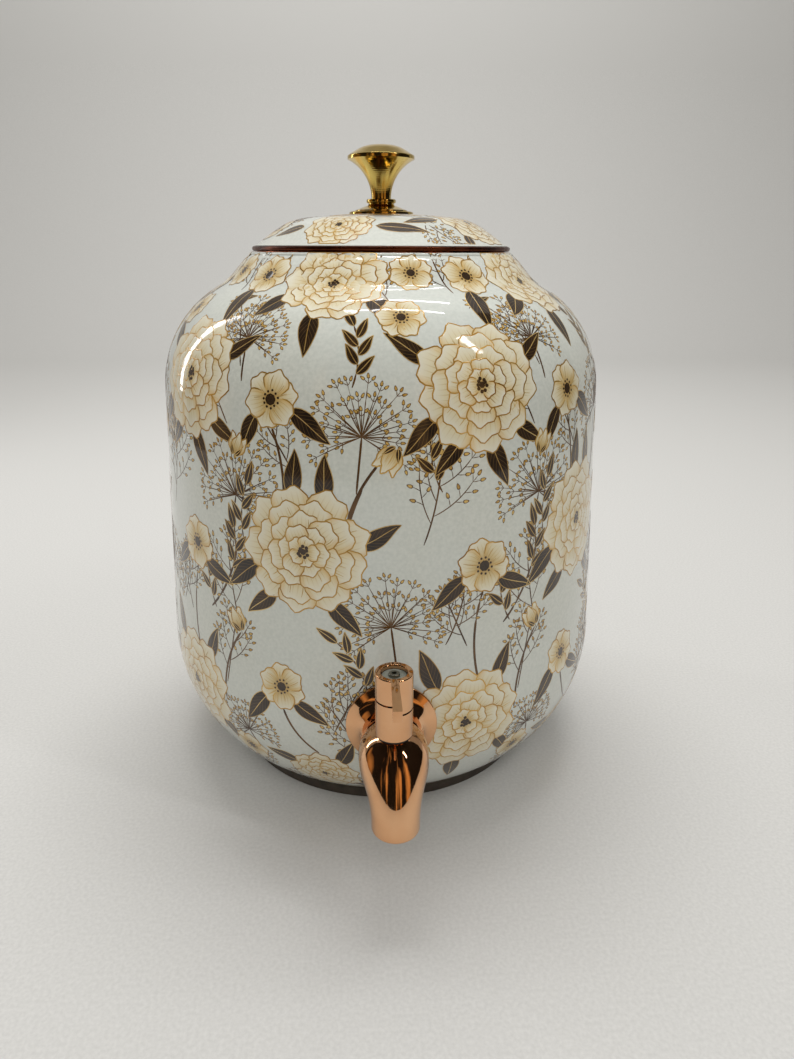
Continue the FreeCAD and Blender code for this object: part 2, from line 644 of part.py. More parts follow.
def make_gaskets():
    """Saddle gaskets: flat towards the clamping faces, and shaped to the pot's wall on the other side."""
    outside = new_body("pot_outside", keep=False)
    outline = new_sketch(outside, "pot_outside_section")
    draw_corners(outline, POT_OUTLINE + [("0", MOUTH_HEIGHT)])
    turn_profile(outside, outline, "pot_outside_turned")

    inside = new_body("pot_inside", keep=False)
    outline = new_sketch(inside, "pot_inside_section")
    draw_inside(outline, POT_OUTLINE, "sheet_gauge", 1)
    turn_profile(inside, outline, "pot_inside_turned")

    bore = "shank_radius + thread_gap"
    outer = turned_piece(
        "outer_gasket_blank",
        ring_corners(
            bore,
            "flange_recess_radius - rest_gap",
            "-flange_recess_radius / 2",
            "flange_gap + flange_recess_depth",
        ),
        keep=False,
    )
    inner = turned_piece(
        "inner_gasket_blank",
        ring_corners(bore, "inner_gasket_radius", f"-{INNER_BACK}", "0"),
        keep=False,
    )
    set_on_tap(outer)
    set_on_tap(inner)
    boolean("Part::Cut", "outer_gasket", outer, outside)
    boolean("Part::Common", "inner_gasket", inner, inside)


def make_clamp():
    """Washer and hexagon nut that pull the tap against the wall from inside."""
    bore = "shank_radius + thread_gap"
    back = f"{INNER_BACK} + clamp_washer_thickness"
    washer = turned_piece(
        "clamp_washer",
        ring_corners(bore, "inner_gasket_radius", f"-({back})", f"-{INNER_BACK}"),
    )
    set_on_tap(washer)

    nut = new_body("lock_nut")
    hexagon = new_sketch(nut, "lock_nut_outline", "XY_Plane", height=f"-({back})")
    corner = "nut_across_flats / sqrt(3)"
    draw_corners(
        hexagon,
        [(f"{corner} * cos({60 * i})", f"{corner} * sin({60 * i})") for i in range(6)],
    )
    draw_circle(hexagon, "0", "0", bore)
    pad(nut, hexagon, "nut_thickness", "lock_nut_blank", reverse=True)
    set_on_tap(nut)


def horn_stations():
    """Stations of the horn: distance along the straight neck, turn of the bend, and swell.

    The swell is 0 at the neck or the spout's end and 1 at the bulb.
    """
    stations = [("neck", 0.0, 0.0), ("neck", 0.5, 0.62), ("neck", 1.0, 0.97)]
    for turn in (15, 30, 45, 60, 75, 90):
        swell = math.cos(math.radians((turn - 15) * 90 / 75)) ** 3
        stations.append(("bend", turn, swell))
    return stations


def make_tap_body():
    """Cast body: a horn lofted through round sections, bored for the inlet, valve and spout."""
    body = new_body("tap_body")
    start = "(flange_gap + flange_depth)"
    bend_start = "(spout_reach - spout_bend_radius)"
    sections = []
    for index, (part, place, swell) in enumerate(horn_stations()):
        section = new_sketch(body, f"horn_section_{index}", "XY_Plane")
        if part == "neck":
            narrow = "body_neck_radius"
            forward = f"{start} + {place} * ({bend_start} - {start})"
        else:
            narrow = "spout_radius"
            forward = f"{bend_start} + spout_bend_radius * sin({place})"
            up = f"spout_bend_radius * (cos({place}) - 1)"
            tilt = Rotation(Vector(1, 0, 0), place)
            section.AttachmentOffset = Placement(Vector(), tilt)
            section.setExpression("AttachmentOffset.Base.y", bound(up))
        section.setExpression("AttachmentOffset.Base.z", bound(forward))
        draw_circle(section, "0", "0", f"{narrow} + {swell:.3f} * (bulb_radius - {narrow})")
        sections.append(section)
    horn = body.newObject("PartDesign::AdditiveLoft", "horn")
    horn.Profile = sections[0]
    horn.Sections = sections[1:]
    horn.Ruled = False
    body.Tip = horn

    nozzle = new_sketch(body, "nozzle_section", "XY_Plane", height="spout_reach")
    top = "spout_edge_radius - spout_bend_radius"
    turned = "(spout_radius - nozzle_step)"
    draw_corners(
        nozzle,
        [
            ("0", "-spout_drop"),
            (turned, "-spout_drop", "spout_edge_radius"),
            (turned, top),
            ("0", top),
        ],
    )
    turn_profile(body, nozzle, "nozzle")

    shank = new_sketch(body, "shank_outline", "XY_Plane", height="-shank_reach")
    draw_circle(shank, "0", "0", "shank_radius")
    pad(body, shank, f"shank_reach + {start} + spout_edge_radius", "shank")

    seat = "bonnet_radius + bonnet_seat_margin"
    above = "bonnet_seat_height + bulb_radius"
    valve = new_sketch(body, "valve_bore_section", "XY_Plane", height="valve_offset")
    draw_corners(
        valve,
        [
            ("0", "-chamber_depth - well_depth"),
            ("well_radius", "-chamber_depth - well_depth"),
            ("well_radius", "-chamber_depth"),
            ("chamber_radius", "-chamber_depth"),
            ("chamber_radius", "bonnet_seat_height"),
            (seat, "bonnet_seat_height"),
            (seat, above),
            ("0", above),
        ],
    )
    turn_profile(body, valve, "valve_bore", cut=True)

    inlet = new_sketch(body, "inlet_outline", "XY_Plane", height="-shank_reach")
    draw_circle(inlet, "0", "0", "inlet_radius")
    pad(body, inlet, "shank_reach + valve_offset", "inlet", cut=True, reverse=True)

    outlet = new_sketch(body, "outlet_section", "XY_Plane", height="spout_reach")
    floor = "outlet_depth - spout_drop"
    draw_corners(
        outlet,
        [
            ("0", "-spout_drop"),
            ("outlet_radius", "-spout_drop"),
            ("outlet_radius", floor, "outlet_depth / 2"),
            ("0", floor),
        ],
    )
    turn_profile(body, outlet, "outlet", cut=True)

    port = body.newObject("PartDesign::SubtractiveCylinder", "port")
    port.AttachmentSupport = [(origin_part(body, "XY_Plane"), "")]
    port.MapMode = "FlatFace"
    run = "(spout_reach - valve_offset - well_radius + port_radius)"
    fall = "(spout_drop - outlet_depth - chamber_depth)"
    slope = f"atan({fall} / {run})"
    port.AttachmentOffset = Placement(Vector(), Rotation(Vector(1, 0, 0), value(slope)))
    port.setExpression("AttachmentOffset.Rotation.Angle", bound(slope))
    port.setExpression("AttachmentOffset.Base.y", bound("-chamber_depth"))
    port.setExpression(
        "AttachmentOffset.Base.z", bound("valve_offset + well_radius - port_radius")
    )
    port.setExpression("Radius", bound("port_radius"))
    port.setExpression("Height", bound(f"sqrt({run}^2 + {fall}^2)"))
    body.Tip = port
    set_on_tap(body)


def make_bonnet():
    """Sleeve that holds the spindle, with the quarter ring that stops the handle."""
    spigot = "chamber_radius - thread_gap"
    foot = "bonnet_seat_height - bonnet_spigot_length"
    bonnet = turned_piece(
        "bonnet",
        [
            ("thrust_bore_radius", foot),
            (spigot, foot),
            (spigot, BONNET_LOW),
            ("bonnet_radius - bonnet_edge", BONNET_LOW),
            ("bonnet_radius", f"{BONNET_LOW} + bonnet_edge"),
            ("bonnet_radius", "bonnet_top"),
            (SPINDLE_BORE, "bonnet_top"),
            (SPINDLE_BORE, "thrust_bore_height"),
            ("thrust_bore_radius", "thrust_bore_height"),
        ],
    )
    sector = new_sketch(bonnet, "stop_section", turn="180 + stop_play_angle")
    low = "bonnet_top - bonnet_edge"
    high = "bonnet_top + stop_rise"
    draw_corners(sector, ring_corners("stop_inner_radius", "bonnet_radius", low, high))
    turn_profile(bonnet, sector, "stop_sector", angle="handle_turn - 2 * stop_play_angle")
    set_on_valve(bonnet)

    seal = turned_piece(
        "bonnet_seal",
        ring_corners("chamber_radius", "bonnet_seal_radius", "bonnet_seat_height", BONNET_LOW),
    )
    set_on_valve(seal)


def make_valve_discs():
    """Rubber seat, fixed disc and moving disc. Each disc has two ports; closed, they miss each other."""
    seal = turned_piece(
        "seat_seal",
        ring_corners("disc_port_outer", "disc_radius", "-chamber_depth", FIXED_LOW),
    )
    set_on_valve(seal)
    fixed_top = f"{FIXED_LOW} + disc_thickness"
    fixed = disc_with_ports("fixed_disc", FIXED_LOW, fixed_top, "-disc_port_angle / 2")
    set_on_valve(fixed)
    moving_start = "handle_turn - disc_port_angle / 2"
    moving = disc_with_ports("moving_disc", MOVING_LOW, MOVING_TOP, moving_start)
    slot = new_sketch(moving, "tang_slot_outline", "XY_Plane", height=MOVING_TOP)
    half_length = "(tang_length / 2 + thread_gap)"
    half_width = "(tang_width / 2 + thread_gap)"
    draw_corners(slot, oblong(half_length, half_width))
    pad(moving, slot, "tang_depth", "tang_slot", cut=True)
    set_on_valve(moving)


def disc_with_ports(label, low, high, start):
    """A disc with two port sectors opposite each other, the first from the start angle on."""
    disc = turned_piece(label, [("0", low), ("disc_radius", low), ("disc_radius", high), ("0", high)])
    section = new_sketch(disc, f"{label}_port_section", turn=start)
    draw_corners(section, ring_corners("disc_port_inner", "disc_port_outer", low, high))
    port = turn_profile(disc, section, f"{label}_port", cut=True, angle="disc_port_angle")
    ports = disc.newObject("PartDesign::PolarPattern", f"{label}_ports")
    ports.Originals = [port]
    ports.Axis = (origin_part(disc, "Z_Axis"), [""])
    ports.Angle = 360
    ports.Occurrences = 2
    disc.Tip = ports
    return disc


def make_spindle():
    """Spindle from the tang in the moving disc up to the two flats in the handle, with its rings."""
    foot = f"{MOVING_TOP} + rest_gap"
    groove = "ring_groove_width / 2"
    corners = [
        ("0", foot),
        ("stem_radius", foot),
        ("stem_radius", "collar_low"),
        ("collar_radius", "collar_low"),
        ("collar_radius", "collar_low + collar_thickness"),
        ("spindle_radius", "collar_low + collar_thickness"),
    ]
    for middle in ("ring_low", "ring_low + ring_pitch"):
        corners += [
            ("spindle_radius", f"{middle} - {groove}"),
            (GROOVE_FLOOR, f"{middle} - {groove}"),
            (GROOVE_FLOOR, f"{middle} + {groove}"),
            ("spindle_radius", f"{middle} + {groove}"),
        ]
    corners += [
        ("spindle_radius", "bonnet_top"),
        ("drive_radius", "bonnet_top"),
        ("drive_radius", "drive_top"),
        ("handle_screw_radius + thread_gap", "drive_top"),
        ("handle_screw_radius + thread_gap", "drive_top - handle_screw_length"),
        ("0", "drive_top - handle_screw_length"),
    ]
    spindle = turned_piece("spindle", corners)

    tang = new_sketch(spindle, "tang_outline", "XY_Plane", height=f"{MOVING_TOP} - tang_depth / 2")
    draw_corners(tang, oblong("(tang_length / 2)", "(tang_width / 2)"))
    pad(spindle, tang, "tang_depth / 2 + 3 * rest_gap", "tang")

    flats = new_sketch(spindle, "flats_outline", "XY_Plane", height="drive_low")
    for side in ("", "-"):
        draw_flat(flats, side)
    pad(spindle, flats, "drive_top - drive_low", "flats", cut=True, reverse=True)
    set_on_valve(spindle)

    slip = turned_piece(
        "thrust_washer",
        ring_corners(
            f"{SPINDLE_BORE}",
            "collar_radius",
            "collar_low + collar_thickness + disc_gap",
            "collar_low + collar_thickness + disc_gap + thrust_washer_thickness",
        ),
    )
    set_on_valve(slip)

    for index, height in enumerate(("ring_low", "ring_low + ring_pitch")):
        ring = doc.addObject("Part::Torus", f"spindle_ring_{index}")
        ring.setExpression("Radius1", bound(f"{GROOVE_FLOOR} + ring_cord / 2"))
        ring.setExpression("Radius2", bound("ring_cord / 2 - spindle_fit / 2"))
        move(ring, y=f"-({WALL_FACE} + valve_offset)", z=f"tap_height + {height}")
    rings = doc.addObject("Part::Compound", "spindle_o_rings")
    rings.Label = "spindle_o_rings"
    rings.Links = [doc.getObject("spindle_ring_0"), doc.getObject("spindle_ring_1")]
    pieces.append(rings)


def draw_flat(sketch, side):
    """The rectangle that cuts one driving flat, on the side with the given sign."""
    first = sketch.GeometryCount
    near = f"{side}drive_flat"
    far = f"{side}(drive_radius + drive_flat)"
    wide = "drive_radius + rest_gap"
    corners = [(near, f"-({wide})"), (far, f"-({wide})"), (far, wide), (near, wide)]
    points = [corner_point(corner) for corner in corners]
    for index in range(4):
        sketch.addGeometry(Part.LineSegment(points[index], points[(index + 1) % 4]))
    for index in range(4):
        following = first + (index + 1) % 4
        sketch.addConstraint(Sketcher.Constraint("Coincident", first + index, 2, following, 1))
        place_point(sketch, first + index, 1, *corners[index])


def make_handle():
    """Cap with its lever, its half skirt that meets the stop, and the recess for its screw."""
    hole = "handle_screw_radius + screw_hole_clearance"
    handle = turned_piece(
        "tap_handle",
        [
            (hole, HANDLE_LOW),
            ("bonnet_radius", HANDLE_LOW),
            ("bonnet_radius", "handle_top", "handle_edge_radius"),
            ("recess_radius", "handle_top", "handle_edge_radius"),
            ("recess_radius", RECESS_FLOOR),
            (hole, RECESS_FLOOR),
        ],
    )
    skirt = new_sketch(handle, "skirt_section", turn="270 + stop_play_angle / 2")
    low = "bonnet_top + seam_gap"
    high = f"{HANDLE_LOW} + handle_edge_radius"
    draw_corners(skirt, ring_corners("stop_inner_radius", "bonnet_radius", low, high))
    turn_profile(handle, skirt, "half_skirt", angle="2 * handle_turn - stop_play_angle")

    lever = new_sketch(handle, "lever_outline", "XY_Plane", height="handle_top - lever_thickness")
    root = "-(recess_radius + handle_edge_radius)"
    draw_corners(
        lever,
        [
            ("-lever_root_width / 2", root),
            ("-lever_end_width / 2", "-lever_reach", "handle_edge_radius"),
            ("lever_end_width / 2", "-lever_reach", "handle_edge_radius"),
            ("lever_root_width / 2", root),
        ],
    )
    pad(handle, lever, "lever_thickness", "lever")

    socket = new_sketch(handle, "drive_socket_outline", "XY_Plane", height=HANDLE_LOW)
    across = "(drive_flat + thread_gap)"
    along = "(drive_radius + thread_gap)"
    draw_corners(socket, oblong(across, along))
    depth = f"drive_top + thread_gap - {HANDLE_LOW}"
    pad(handle, socket, depth, "drive_socket", cut=True, reverse=True)

    set_on_valve(handle)

    disc_low = RECESS_FLOOR
    disc_high = f"{RECESS_FLOOR} + cap_disc_thickness"
    disc = turned_piece(
        "handle_cap_disc",
        ring_corners(hole, "recess_radius - cap_disc_margin", disc_low, disc_high),
    )
    set_on_valve(disc)
    head = f"{disc_high} + handle_screw_head_height"
    tip = "drive_top - handle_screw_length + rest_gap"
    screw = turned_piece(
        "handle_screw",
        [
            ("0", tip),
            ("handle_screw_radius", tip),
            ("handle_screw_radius", disc_high),
            ("handle_screw_head_radius", disc_high),
            ("handle_screw_head_radius", head, "handle_screw_head_height / 3"),
            ("key_radius", head),
            ("key_radius", disc_high),
            ("0", disc_high),
        ],
    )
    set_on_valve(screw)


def check_and_write():
    """Stops on any failed object, then writes one file for each piece."""
    doc.recompute()
    for obj in doc.Objects:
        if "Invalid" in obj.State or "Error" in obj.State:
            raise RuntimeError(f"{obj.Name} failed: {obj.State}")
    for piece in pieces:
        if piece.Shape.isNull() or not piece.Shape.isValid():
            raise RuntimeError(f"{piece.Label} has no valid shape")
    os.makedirs("parts", exist_ok=True)
    for piece in pieces:
        piece.Shape.exportStep(f"parts/{piece.Label}.step")
        print(piece.Label, len(piece.Shape.Solids), round(piece.Shape.Volume, 1))


fill_sheet()
make_vessel()
make_foot_ring()
make_lid()
make_knob()
make_tap_body()
make_tap_flange()
make_gaskets()
make_clamp()
make_bonnet()
make_valve_discs()
make_spindle()
make_handle()
check_and_write()
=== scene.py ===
"""Looks for the water pot: lacquered skins with a raised flower print, brass, rose gold and copper.

Lengths are millimetres in the CAD frame, and become metres when a mesh is made. Those of the
stage are metres from the start.
"""

import math

import bpy
import numpy as np
from mathutils import Matrix, Vector


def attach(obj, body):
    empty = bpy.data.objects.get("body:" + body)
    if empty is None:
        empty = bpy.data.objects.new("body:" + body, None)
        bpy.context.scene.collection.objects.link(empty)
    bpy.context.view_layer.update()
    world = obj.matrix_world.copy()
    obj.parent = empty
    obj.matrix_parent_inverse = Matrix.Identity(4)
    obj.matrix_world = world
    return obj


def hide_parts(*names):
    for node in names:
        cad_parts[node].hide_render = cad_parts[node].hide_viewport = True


MM = 0.001
TURN = 2.0 * math.pi
SEGMENTS = 320
ON_AXIS = 1e-6
SHARP_TURNED = math.radians(35.0)
SHARP_PRINT = math.radians(40.0)

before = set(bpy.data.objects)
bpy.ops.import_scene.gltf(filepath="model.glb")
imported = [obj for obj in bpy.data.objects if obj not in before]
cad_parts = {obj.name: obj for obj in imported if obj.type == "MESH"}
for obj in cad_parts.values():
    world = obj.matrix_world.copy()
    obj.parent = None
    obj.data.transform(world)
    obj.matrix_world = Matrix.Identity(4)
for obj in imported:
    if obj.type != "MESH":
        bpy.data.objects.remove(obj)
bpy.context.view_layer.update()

# The sheet's thickness, the height of the lid's lower edge, the radius of its outline there, and
# how far the lacquered ground lies below the CAD surface
SHEET = 1.0
LID_PLANE = 262.391
LID_RING = 61.6
SKIN_DEPTH = 0.25

# The rolled edge of the mouth: place of its middle, and radius of its section
MOUTH_RADIUS = 62.7
MOUTH_HEIGHT = 259.6
MOUTH_ROLL = 1.35

# Outlines of the spun pieces: radius, height, and the curve that rounds each corner
POT_OUTLINE = [
    (0.0, 6.0, 0.0),
    (82.8, 6.0, 3.0),
    (117.0, 31.3, 76.0),
    (107.1, 229.8, 55.0),
    (75.2, 248.1, 16.0),
    (64.0, 260.6, 0.0),
]
LID_OUTLINE = [
    (0.0, 15.4, 0.0),
    (22.0, 15.4, 120.0),
    (43.8, 13.2, 30.0),
    (LID_RING, 1.5, 0.0),
]


CURVE_STEP = 2.0


def rounded(corners):
    """Points along a chain of straight lines whose corners are rounded off."""
    chain = [np.array(corner[:2]) for corner in corners]
    points = [chain[0]]
    for index in range(1, len(chain) - 1):
        corner, radius = chain[index], corners[index][2]
        before = chain[index - 1] - corner
        after = chain[index + 1] - corner
        before /= np.linalg.norm(before)
        after /= np.linalg.norm(after)
        bend = math.pi - math.acos(np.clip(before @ after, -1.0, 1.0))
        reach = radius * math.tan(bend / 2)
        middle = before + after
        middle /= np.linalg.norm(middle)
        centre = corner + middle * radius / math.cos(bend / 2)
        start = corner + before * reach - centre
        finish = corner + after * reach - centre
        first = math.atan2(start[1], start[0])
        arc = (math.atan2(finish[1], finish[0]) - first + math.pi) % TURN - math.pi
        count = max(3, int(abs(arc) * radius / CURVE_STEP))
        for angle in first + arc * np.linspace(0.0, 1.0, count + 1):
            points.append(centre + radius * np.array([math.cos(angle), math.sin(angle)]))
    points.append(chain[-1])
    return np.array(points)


def refined(points, step):
    """The same chain with no step longer than given."""
    fine = [points[0]]
    for start, finish in zip(points[:-1], points[1:]):
        count = max(1, int(np.linalg.norm(finish - start) / step))
        for share in np.linspace(0.0, 1.0, count + 1)[1:]:
            fine.append(start + (finish - start) * share)
    return np.array(fine)


def side_normals(points):
    """Unit normals to the right of the chain's direction."""
    along = np.gradient(points, axis=0)
    along /= np.linalg.norm(along, axis=1)[:, None]
    return np.stack([along[:, 1], -along[:, 0]], axis=1)


def set_off(points, distance):
    """The chain moved to its right, and not past the axis."""
    moved = points + side_normals(points) * distance
    moved[:, 0] = np.maximum(moved[:, 0], 0.0)
    moved[0, 0] = points[0, 0]
    return moved


def new_object(name, vertices, faces, material):
    mesh = bpy.data.meshes.new(name)
    mesh.from_pydata((np.asarray(vertices) * MM).tolist(), [], faces)
    mesh.validate()
    mesh.shade_smooth()
    mesh.materials.append(material)
    piece = bpy.data.objects.new(name, mesh)
    bpy.context.scene.collection.objects.link(piece)
    return piece


def turned(name, profile, materials, bare_from):
    """A solid of revolution about Z, from a profile that runs from axis to axis.

    It has the first material up to a point of the profile, and the second one from there.
    """
    angles = np.linspace(0.0, TURN, SEGMENTS, endpoint=False)
    vertices, rings = [], []
    for radius, height in profile:
        if radius < ON_AXIS:
            rings.append([len(vertices)])
            vertices.append((0.0, 0.0, height))
            continue
        rings.append(list(range(len(vertices), len(vertices) + SEGMENTS)))
        vertices += [(radius * math.cos(a), radius * math.sin(a), height) for a in angles]
    faces, slots = [], []
    for place, (low, high) in enumerate(zip(rings[:-1], rings[1:])):
        for index in range(SEGMENTS):
            after = (index + 1) % SEGMENTS
            slots.append(int(place >= bare_from))
            if len(low) == 1:
                faces.append((low[0], high[after], high[index]))
            elif len(high) == 1:
                faces.append((low[index], low[after], high[0]))
            else:
                faces.append((low[index], low[after], high[after], high[index]))
    piece = new_object(name, vertices, faces, materials[0])
    piece.data.materials.append(materials[1])
    piece.data.polygons.foreach_set("material_index", slots)
    piece.data.set_sharp_from_angle(angle=SHARP_TURNED)
    return piece


# Materials


def tone(red, green, blue):
    """A colour given as it looks on a screen, 0 to 255, as the renderer's linear values."""
    linear = []
    for part in (red, green, blue):
        share = part / 255.0
        linear.append(share / 12.92 if share <= 0.04045 else ((share + 0.055) / 1.055) ** 2.4)
    return (*linear, 1.0)


class Nodes:
    """Short names for adding and joining the nodes of one material."""

    def __init__(self, name):
        self.material = bpy.data.materials.new(name)
        self.material.use_nodes = True
        self.tree = self.material.node_tree
        self.shader = self.tree.nodes["Principled BSDF"]

    def add(self, kind, **inputs):
        node = self.tree.nodes.new(kind)
        for key, setting in inputs.items():
            self.put(node, key, setting)
        return node

    def put(self, node, key, setting):
        socket = node.inputs[key.replace("_", " ")] if isinstance(key, str) else node.inputs[key]
        if isinstance(setting, bpy.types.NodeSocket):
            self.tree.links.new(setting, socket)
        else:
            socket.default_value = setting

    def set(self, **inputs):
        for key, setting in inputs.items():
            self.put(self.shader, key, setting)

    def place(self):
        return self.add("ShaderNodeTexCoord").outputs["Object"]

    def uv(self):
        """How far across and how far along a plate a point lies, both from 0 to 1."""
        parts = self.add("ShaderNodeSeparateXYZ")
        self.put(parts, 0, self.add("ShaderNodeTexCoord").outputs["UV"])
        return parts.outputs[0], parts.outputs[1]

    def noise(self, scale, detail=3.0, vector=None):
        node = self.add("ShaderNodeTexNoise", Scale=scale, Detail=detail)
        self.put(node, "Vector", vector or self.place())
        return node.outputs["Fac"]

    def ramp(self, factor, stops):
        node = self.add("ShaderNodeValToRGB")
        node.inputs["Fac"].default_value = 0.5
        self.put(node, "Fac", factor)
        elements = node.color_ramp.elements
        while len(elements) < len(stops):
            elements.new(0.5)
        for element, (position, colour) in zip(elements, stops):
            element.position = position
            element.color = colour
        return node.outputs["Color"]

    def mottle(self, scale, low, high, detail=3.0):
        """A colour that wanders between two tones."""
        return self.ramp(self.noise(scale, detail), [(0.3, low), (0.7, high)])

    def span(self, factor, low, high, new_low, new_high):
        node = self.add("ShaderNodeMapRange")
        self.put(node, "Value", factor)
        self.put(node, "From Min", low)
        self.put(node, "From Max", high)
        self.put(node, "To Min", new_low)
        self.put(node, "To Max", new_high)
        return node.outputs["Result"]

    def math(self, operation, first, second=0.0):
        node = self.add("ShaderNodeMath")
        node.operation = operation
        self.put(node, 0, first)
        self.put(node, 1, second)
        return node.outputs[0]

    def mix(self, factor, first, second):
        node = self.add("ShaderNodeMix")
        node.data_type = "RGBA"
        self.put(node, 0, factor)
        self.put(node, 6, first)
        self.put(node, 7, second)
        return node.outputs[2]

    def bump(self, height, distance, strength):
        node = self.add("ShaderNodeBump", Strength=strength, Distance=distance)
        self.put(node, "Height", height)
        self.put(self.shader, "Normal", node.outputs["Normal"])


# Numbers of the grains and turning marks are counts over a metre, depths are metres
LACQUER_GRAIN = 900.0
LACQUER_SPREAD = 0.05
PLAIN_GRAIN = 200.0
PLAIN_SPREAD = 0.1
TURNING_MARKS = 9000.0
MARK_DEPTH = 0.00002
MARK_STRENGTH = 0.3
LACQUER = {
    "Coat Weight": 1.0,
    "Coat Roughness": 0.05,
    "Coat IOR": 1.5,
    "Specular IOR Level": 0.15,
}


def lacquered(name, colour_of, roughness, metallic=0.0):
    """A printed colour under clear lacquer."""
    nodes = Nodes(name)
    least, most = roughness - LACQUER_SPREAD, roughness + LACQUER_SPREAD
    rough = nodes.span(nodes.noise(LACQUER_GRAIN), 0.3, 0.7, least, most)
    nodes.set(Base_Color=colour_of(nodes), Metallic=metallic, Roughness=rough)
    for key, setting in LACQUER.items():
        nodes.shader.inputs[key].default_value = setting
    return nodes.material


def ground_colour(nodes):
    """Pale grey ground with the faint mottling of the print."""
    fine = nodes.ramp(
        nodes.noise(700.0, 4.0),
        [(0.35, tone(192, 194, 184)), (0.65, tone(203, 204, 194))],
    )
    broad = nodes.noise(14.0, 2.0)
    return nodes.mix(nodes.span(broad, 0.35, 0.7, 0.0, 0.35), fine, tone(197, 204, 202))


def petal_colour(nodes):
    """Cream that is deeper towards the petal's foot, with fine veins along the petal."""
    across, along = nodes.uv()
    body = nodes.ramp(
        along,
        [
            (0.0, tone(160, 126, 66)),
            (0.3, tone(196, 174, 124)),
            (0.65, tone(210, 199, 166)),
            (1.0, tone(216, 211, 192)),
        ],
    )
    wobble = nodes.span(nodes.noise(160.0, 2.0), 0.0, 1.0, -0.6, 0.6)
    wave = nodes.math("SINE", nodes.math("ADD", nodes.math("MULTIPLY", across, 44.0), wobble))
    vein = nodes.span(wave, 0.72, 0.98, 0.0, 1.0)
    fade = nodes.span(along, 0.15, 0.9, 0.75, 0.0)
    veined = nodes.mix(nodes.math("MULTIPLY", vein, fade), body, tone(172, 132, 62))
    side = nodes.math("ABSOLUTE", nodes.math("SUBTRACT", across, 0.5))
    rim = nodes.span(side, 0.3, 0.5, 0.0, 0.7)
    return nodes.mix(rim, veined, tone(202, 166, 98))


def leaf_colour(nodes):
    """Dark brown with paler side veins."""
    across, along = nodes.uv()
    side = nodes.math("ABSOLUTE", nodes.math("SUBTRACT", across, 0.5))
    up = nodes.math("MULTIPLY", along, 52.0)
    slant = nodes.math("SUBTRACT", up, nodes.math("MULTIPLY", side, 30.0))
    vein = nodes.span(nodes.math("SINE", slant), 0.86, 1.0, 0.0, 0.5)
    body = nodes.mottle(120.0, tone(26, 17, 9), tone(56, 38, 20))
    return nodes.mix(vein, body, tone(120, 92, 50))


def gold_colour(nodes):
    return nodes.mottle(60.0, tone(150, 108, 40), tone(206, 164, 82))


def trim_colour(nodes):
    return nodes.mottle(60.0, tone(160, 124, 60), tone(218, 186, 120))


def umber_colour(nodes):
    return nodes.mottle(90.0, tone(58, 36, 16), tone(104, 72, 34))


def seed_colour(nodes):
    """Dark rim and gold core: V runs from the rim of each seed to its middle."""
    _, inward = nodes.uv()
    core = nodes.mottle(240.0, tone(160, 122, 56), tone(206, 172, 98), 2.0)
    return nodes.mix(nodes.span(inward, 0.22, 0.4, 0.0, 1.0), tone(72, 46, 20), core)


def polished(name, low, high, roughness, scale=60.0, rings=0.0):
    """Bright metal with a little change of tone and of roughness, and fine turning marks."""
    nodes = Nodes(name)
    rough = nodes.span(nodes.noise(scale * 4), 0.3, 0.7, roughness * 0.7, roughness * 1.5)
    nodes.set(Base_Color=nodes.mottle(scale, low, high), Metallic=1.0, Roughness=rough)
    if rings:
        height = nodes.add("ShaderNodeSeparateXYZ")
        nodes.put(height, 0, nodes.place())
        wave = nodes.math("SINE", nodes.math("MULTIPLY", height.outputs[2], rings))
        nodes.bump(wave, MARK_DEPTH, MARK_STRENGTH)
    return nodes.material


def plain(name, low, high, roughness):
    """A dull material with a little change of tone and of roughness."""
    nodes = Nodes(name)
    least, most = roughness - PLAIN_SPREAD, roughness + PLAIN_SPREAD
    rough = nodes.span(nodes.noise(PLAIN_GRAIN * 3), 0.2, 0.8, least, most)
    nodes.set(Base_Color=nodes.mottle(PLAIN_GRAIN, low, high), Roughness=rough)
    return nodes.material


GROUND = lacquered("lacquered_ground", ground_colour, 0.42)
PETAL = lacquered("print_petal", petal_colour, 0.45)
LEAF = lacquered("print_leaf", leaf_colour, 0.4)
SEED = lacquered("print_seed", seed_colour, 0.4)
GOLD = lacquered("print_gold", gold_colour, 0.35, 0.55)
TRIM = lacquered("print_trim", trim_colour, 0.35, 0.4)
UMBER = lacquered("print_umber", umber_colour, 0.4, 0.2)
BRASS = polished("turned_brass", tone(190, 158, 80), tone(218, 190, 112), 0.12, rings=TURNING_MARKS)
ROSE = polished("rose_gold", tone(214, 160, 116), tone(228, 180, 138), 0.05)
BARE_COPPER = polished("bare_copper", tone(66, 31, 18), tone(116, 62, 38), 0.33, 120.0)
INNER_COPPER = polished("inner_copper", tone(184, 108, 76), tone(214, 138, 100), 0.28, 40.0)
STEEL = polished("satin_steel", tone(120, 122, 120), tone(160, 160, 158), 0.3, 300.0)
SCREW_STEEL = polished("screw_head", tone(128, 128, 120), tone(160, 160, 150), 0.4, 300.0)
RUBBER = plain("rubber", tone(26, 25, 24), tone(42, 40, 38), 0.7)
CERAMIC = plain("ceramic", tone(226, 224, 216), tone(238, 236, 230), 0.2)
PLASTIC = plain("slip_plastic", tone(214, 212, 205), tone(226, 224, 218), 0.5)
CAP = plain("cap_disc", tone(104, 107, 98), tone(134, 136, 126), 0.5)
# The foot ring's near-black tone is painted shade: the shadow under the belly, laid on a ring that is
# really printed like the wall
FOOT_PAINTED_SHADE = plain("foot_ring", tone(46, 39, 32), tone(68, 59, 48), 0.5)
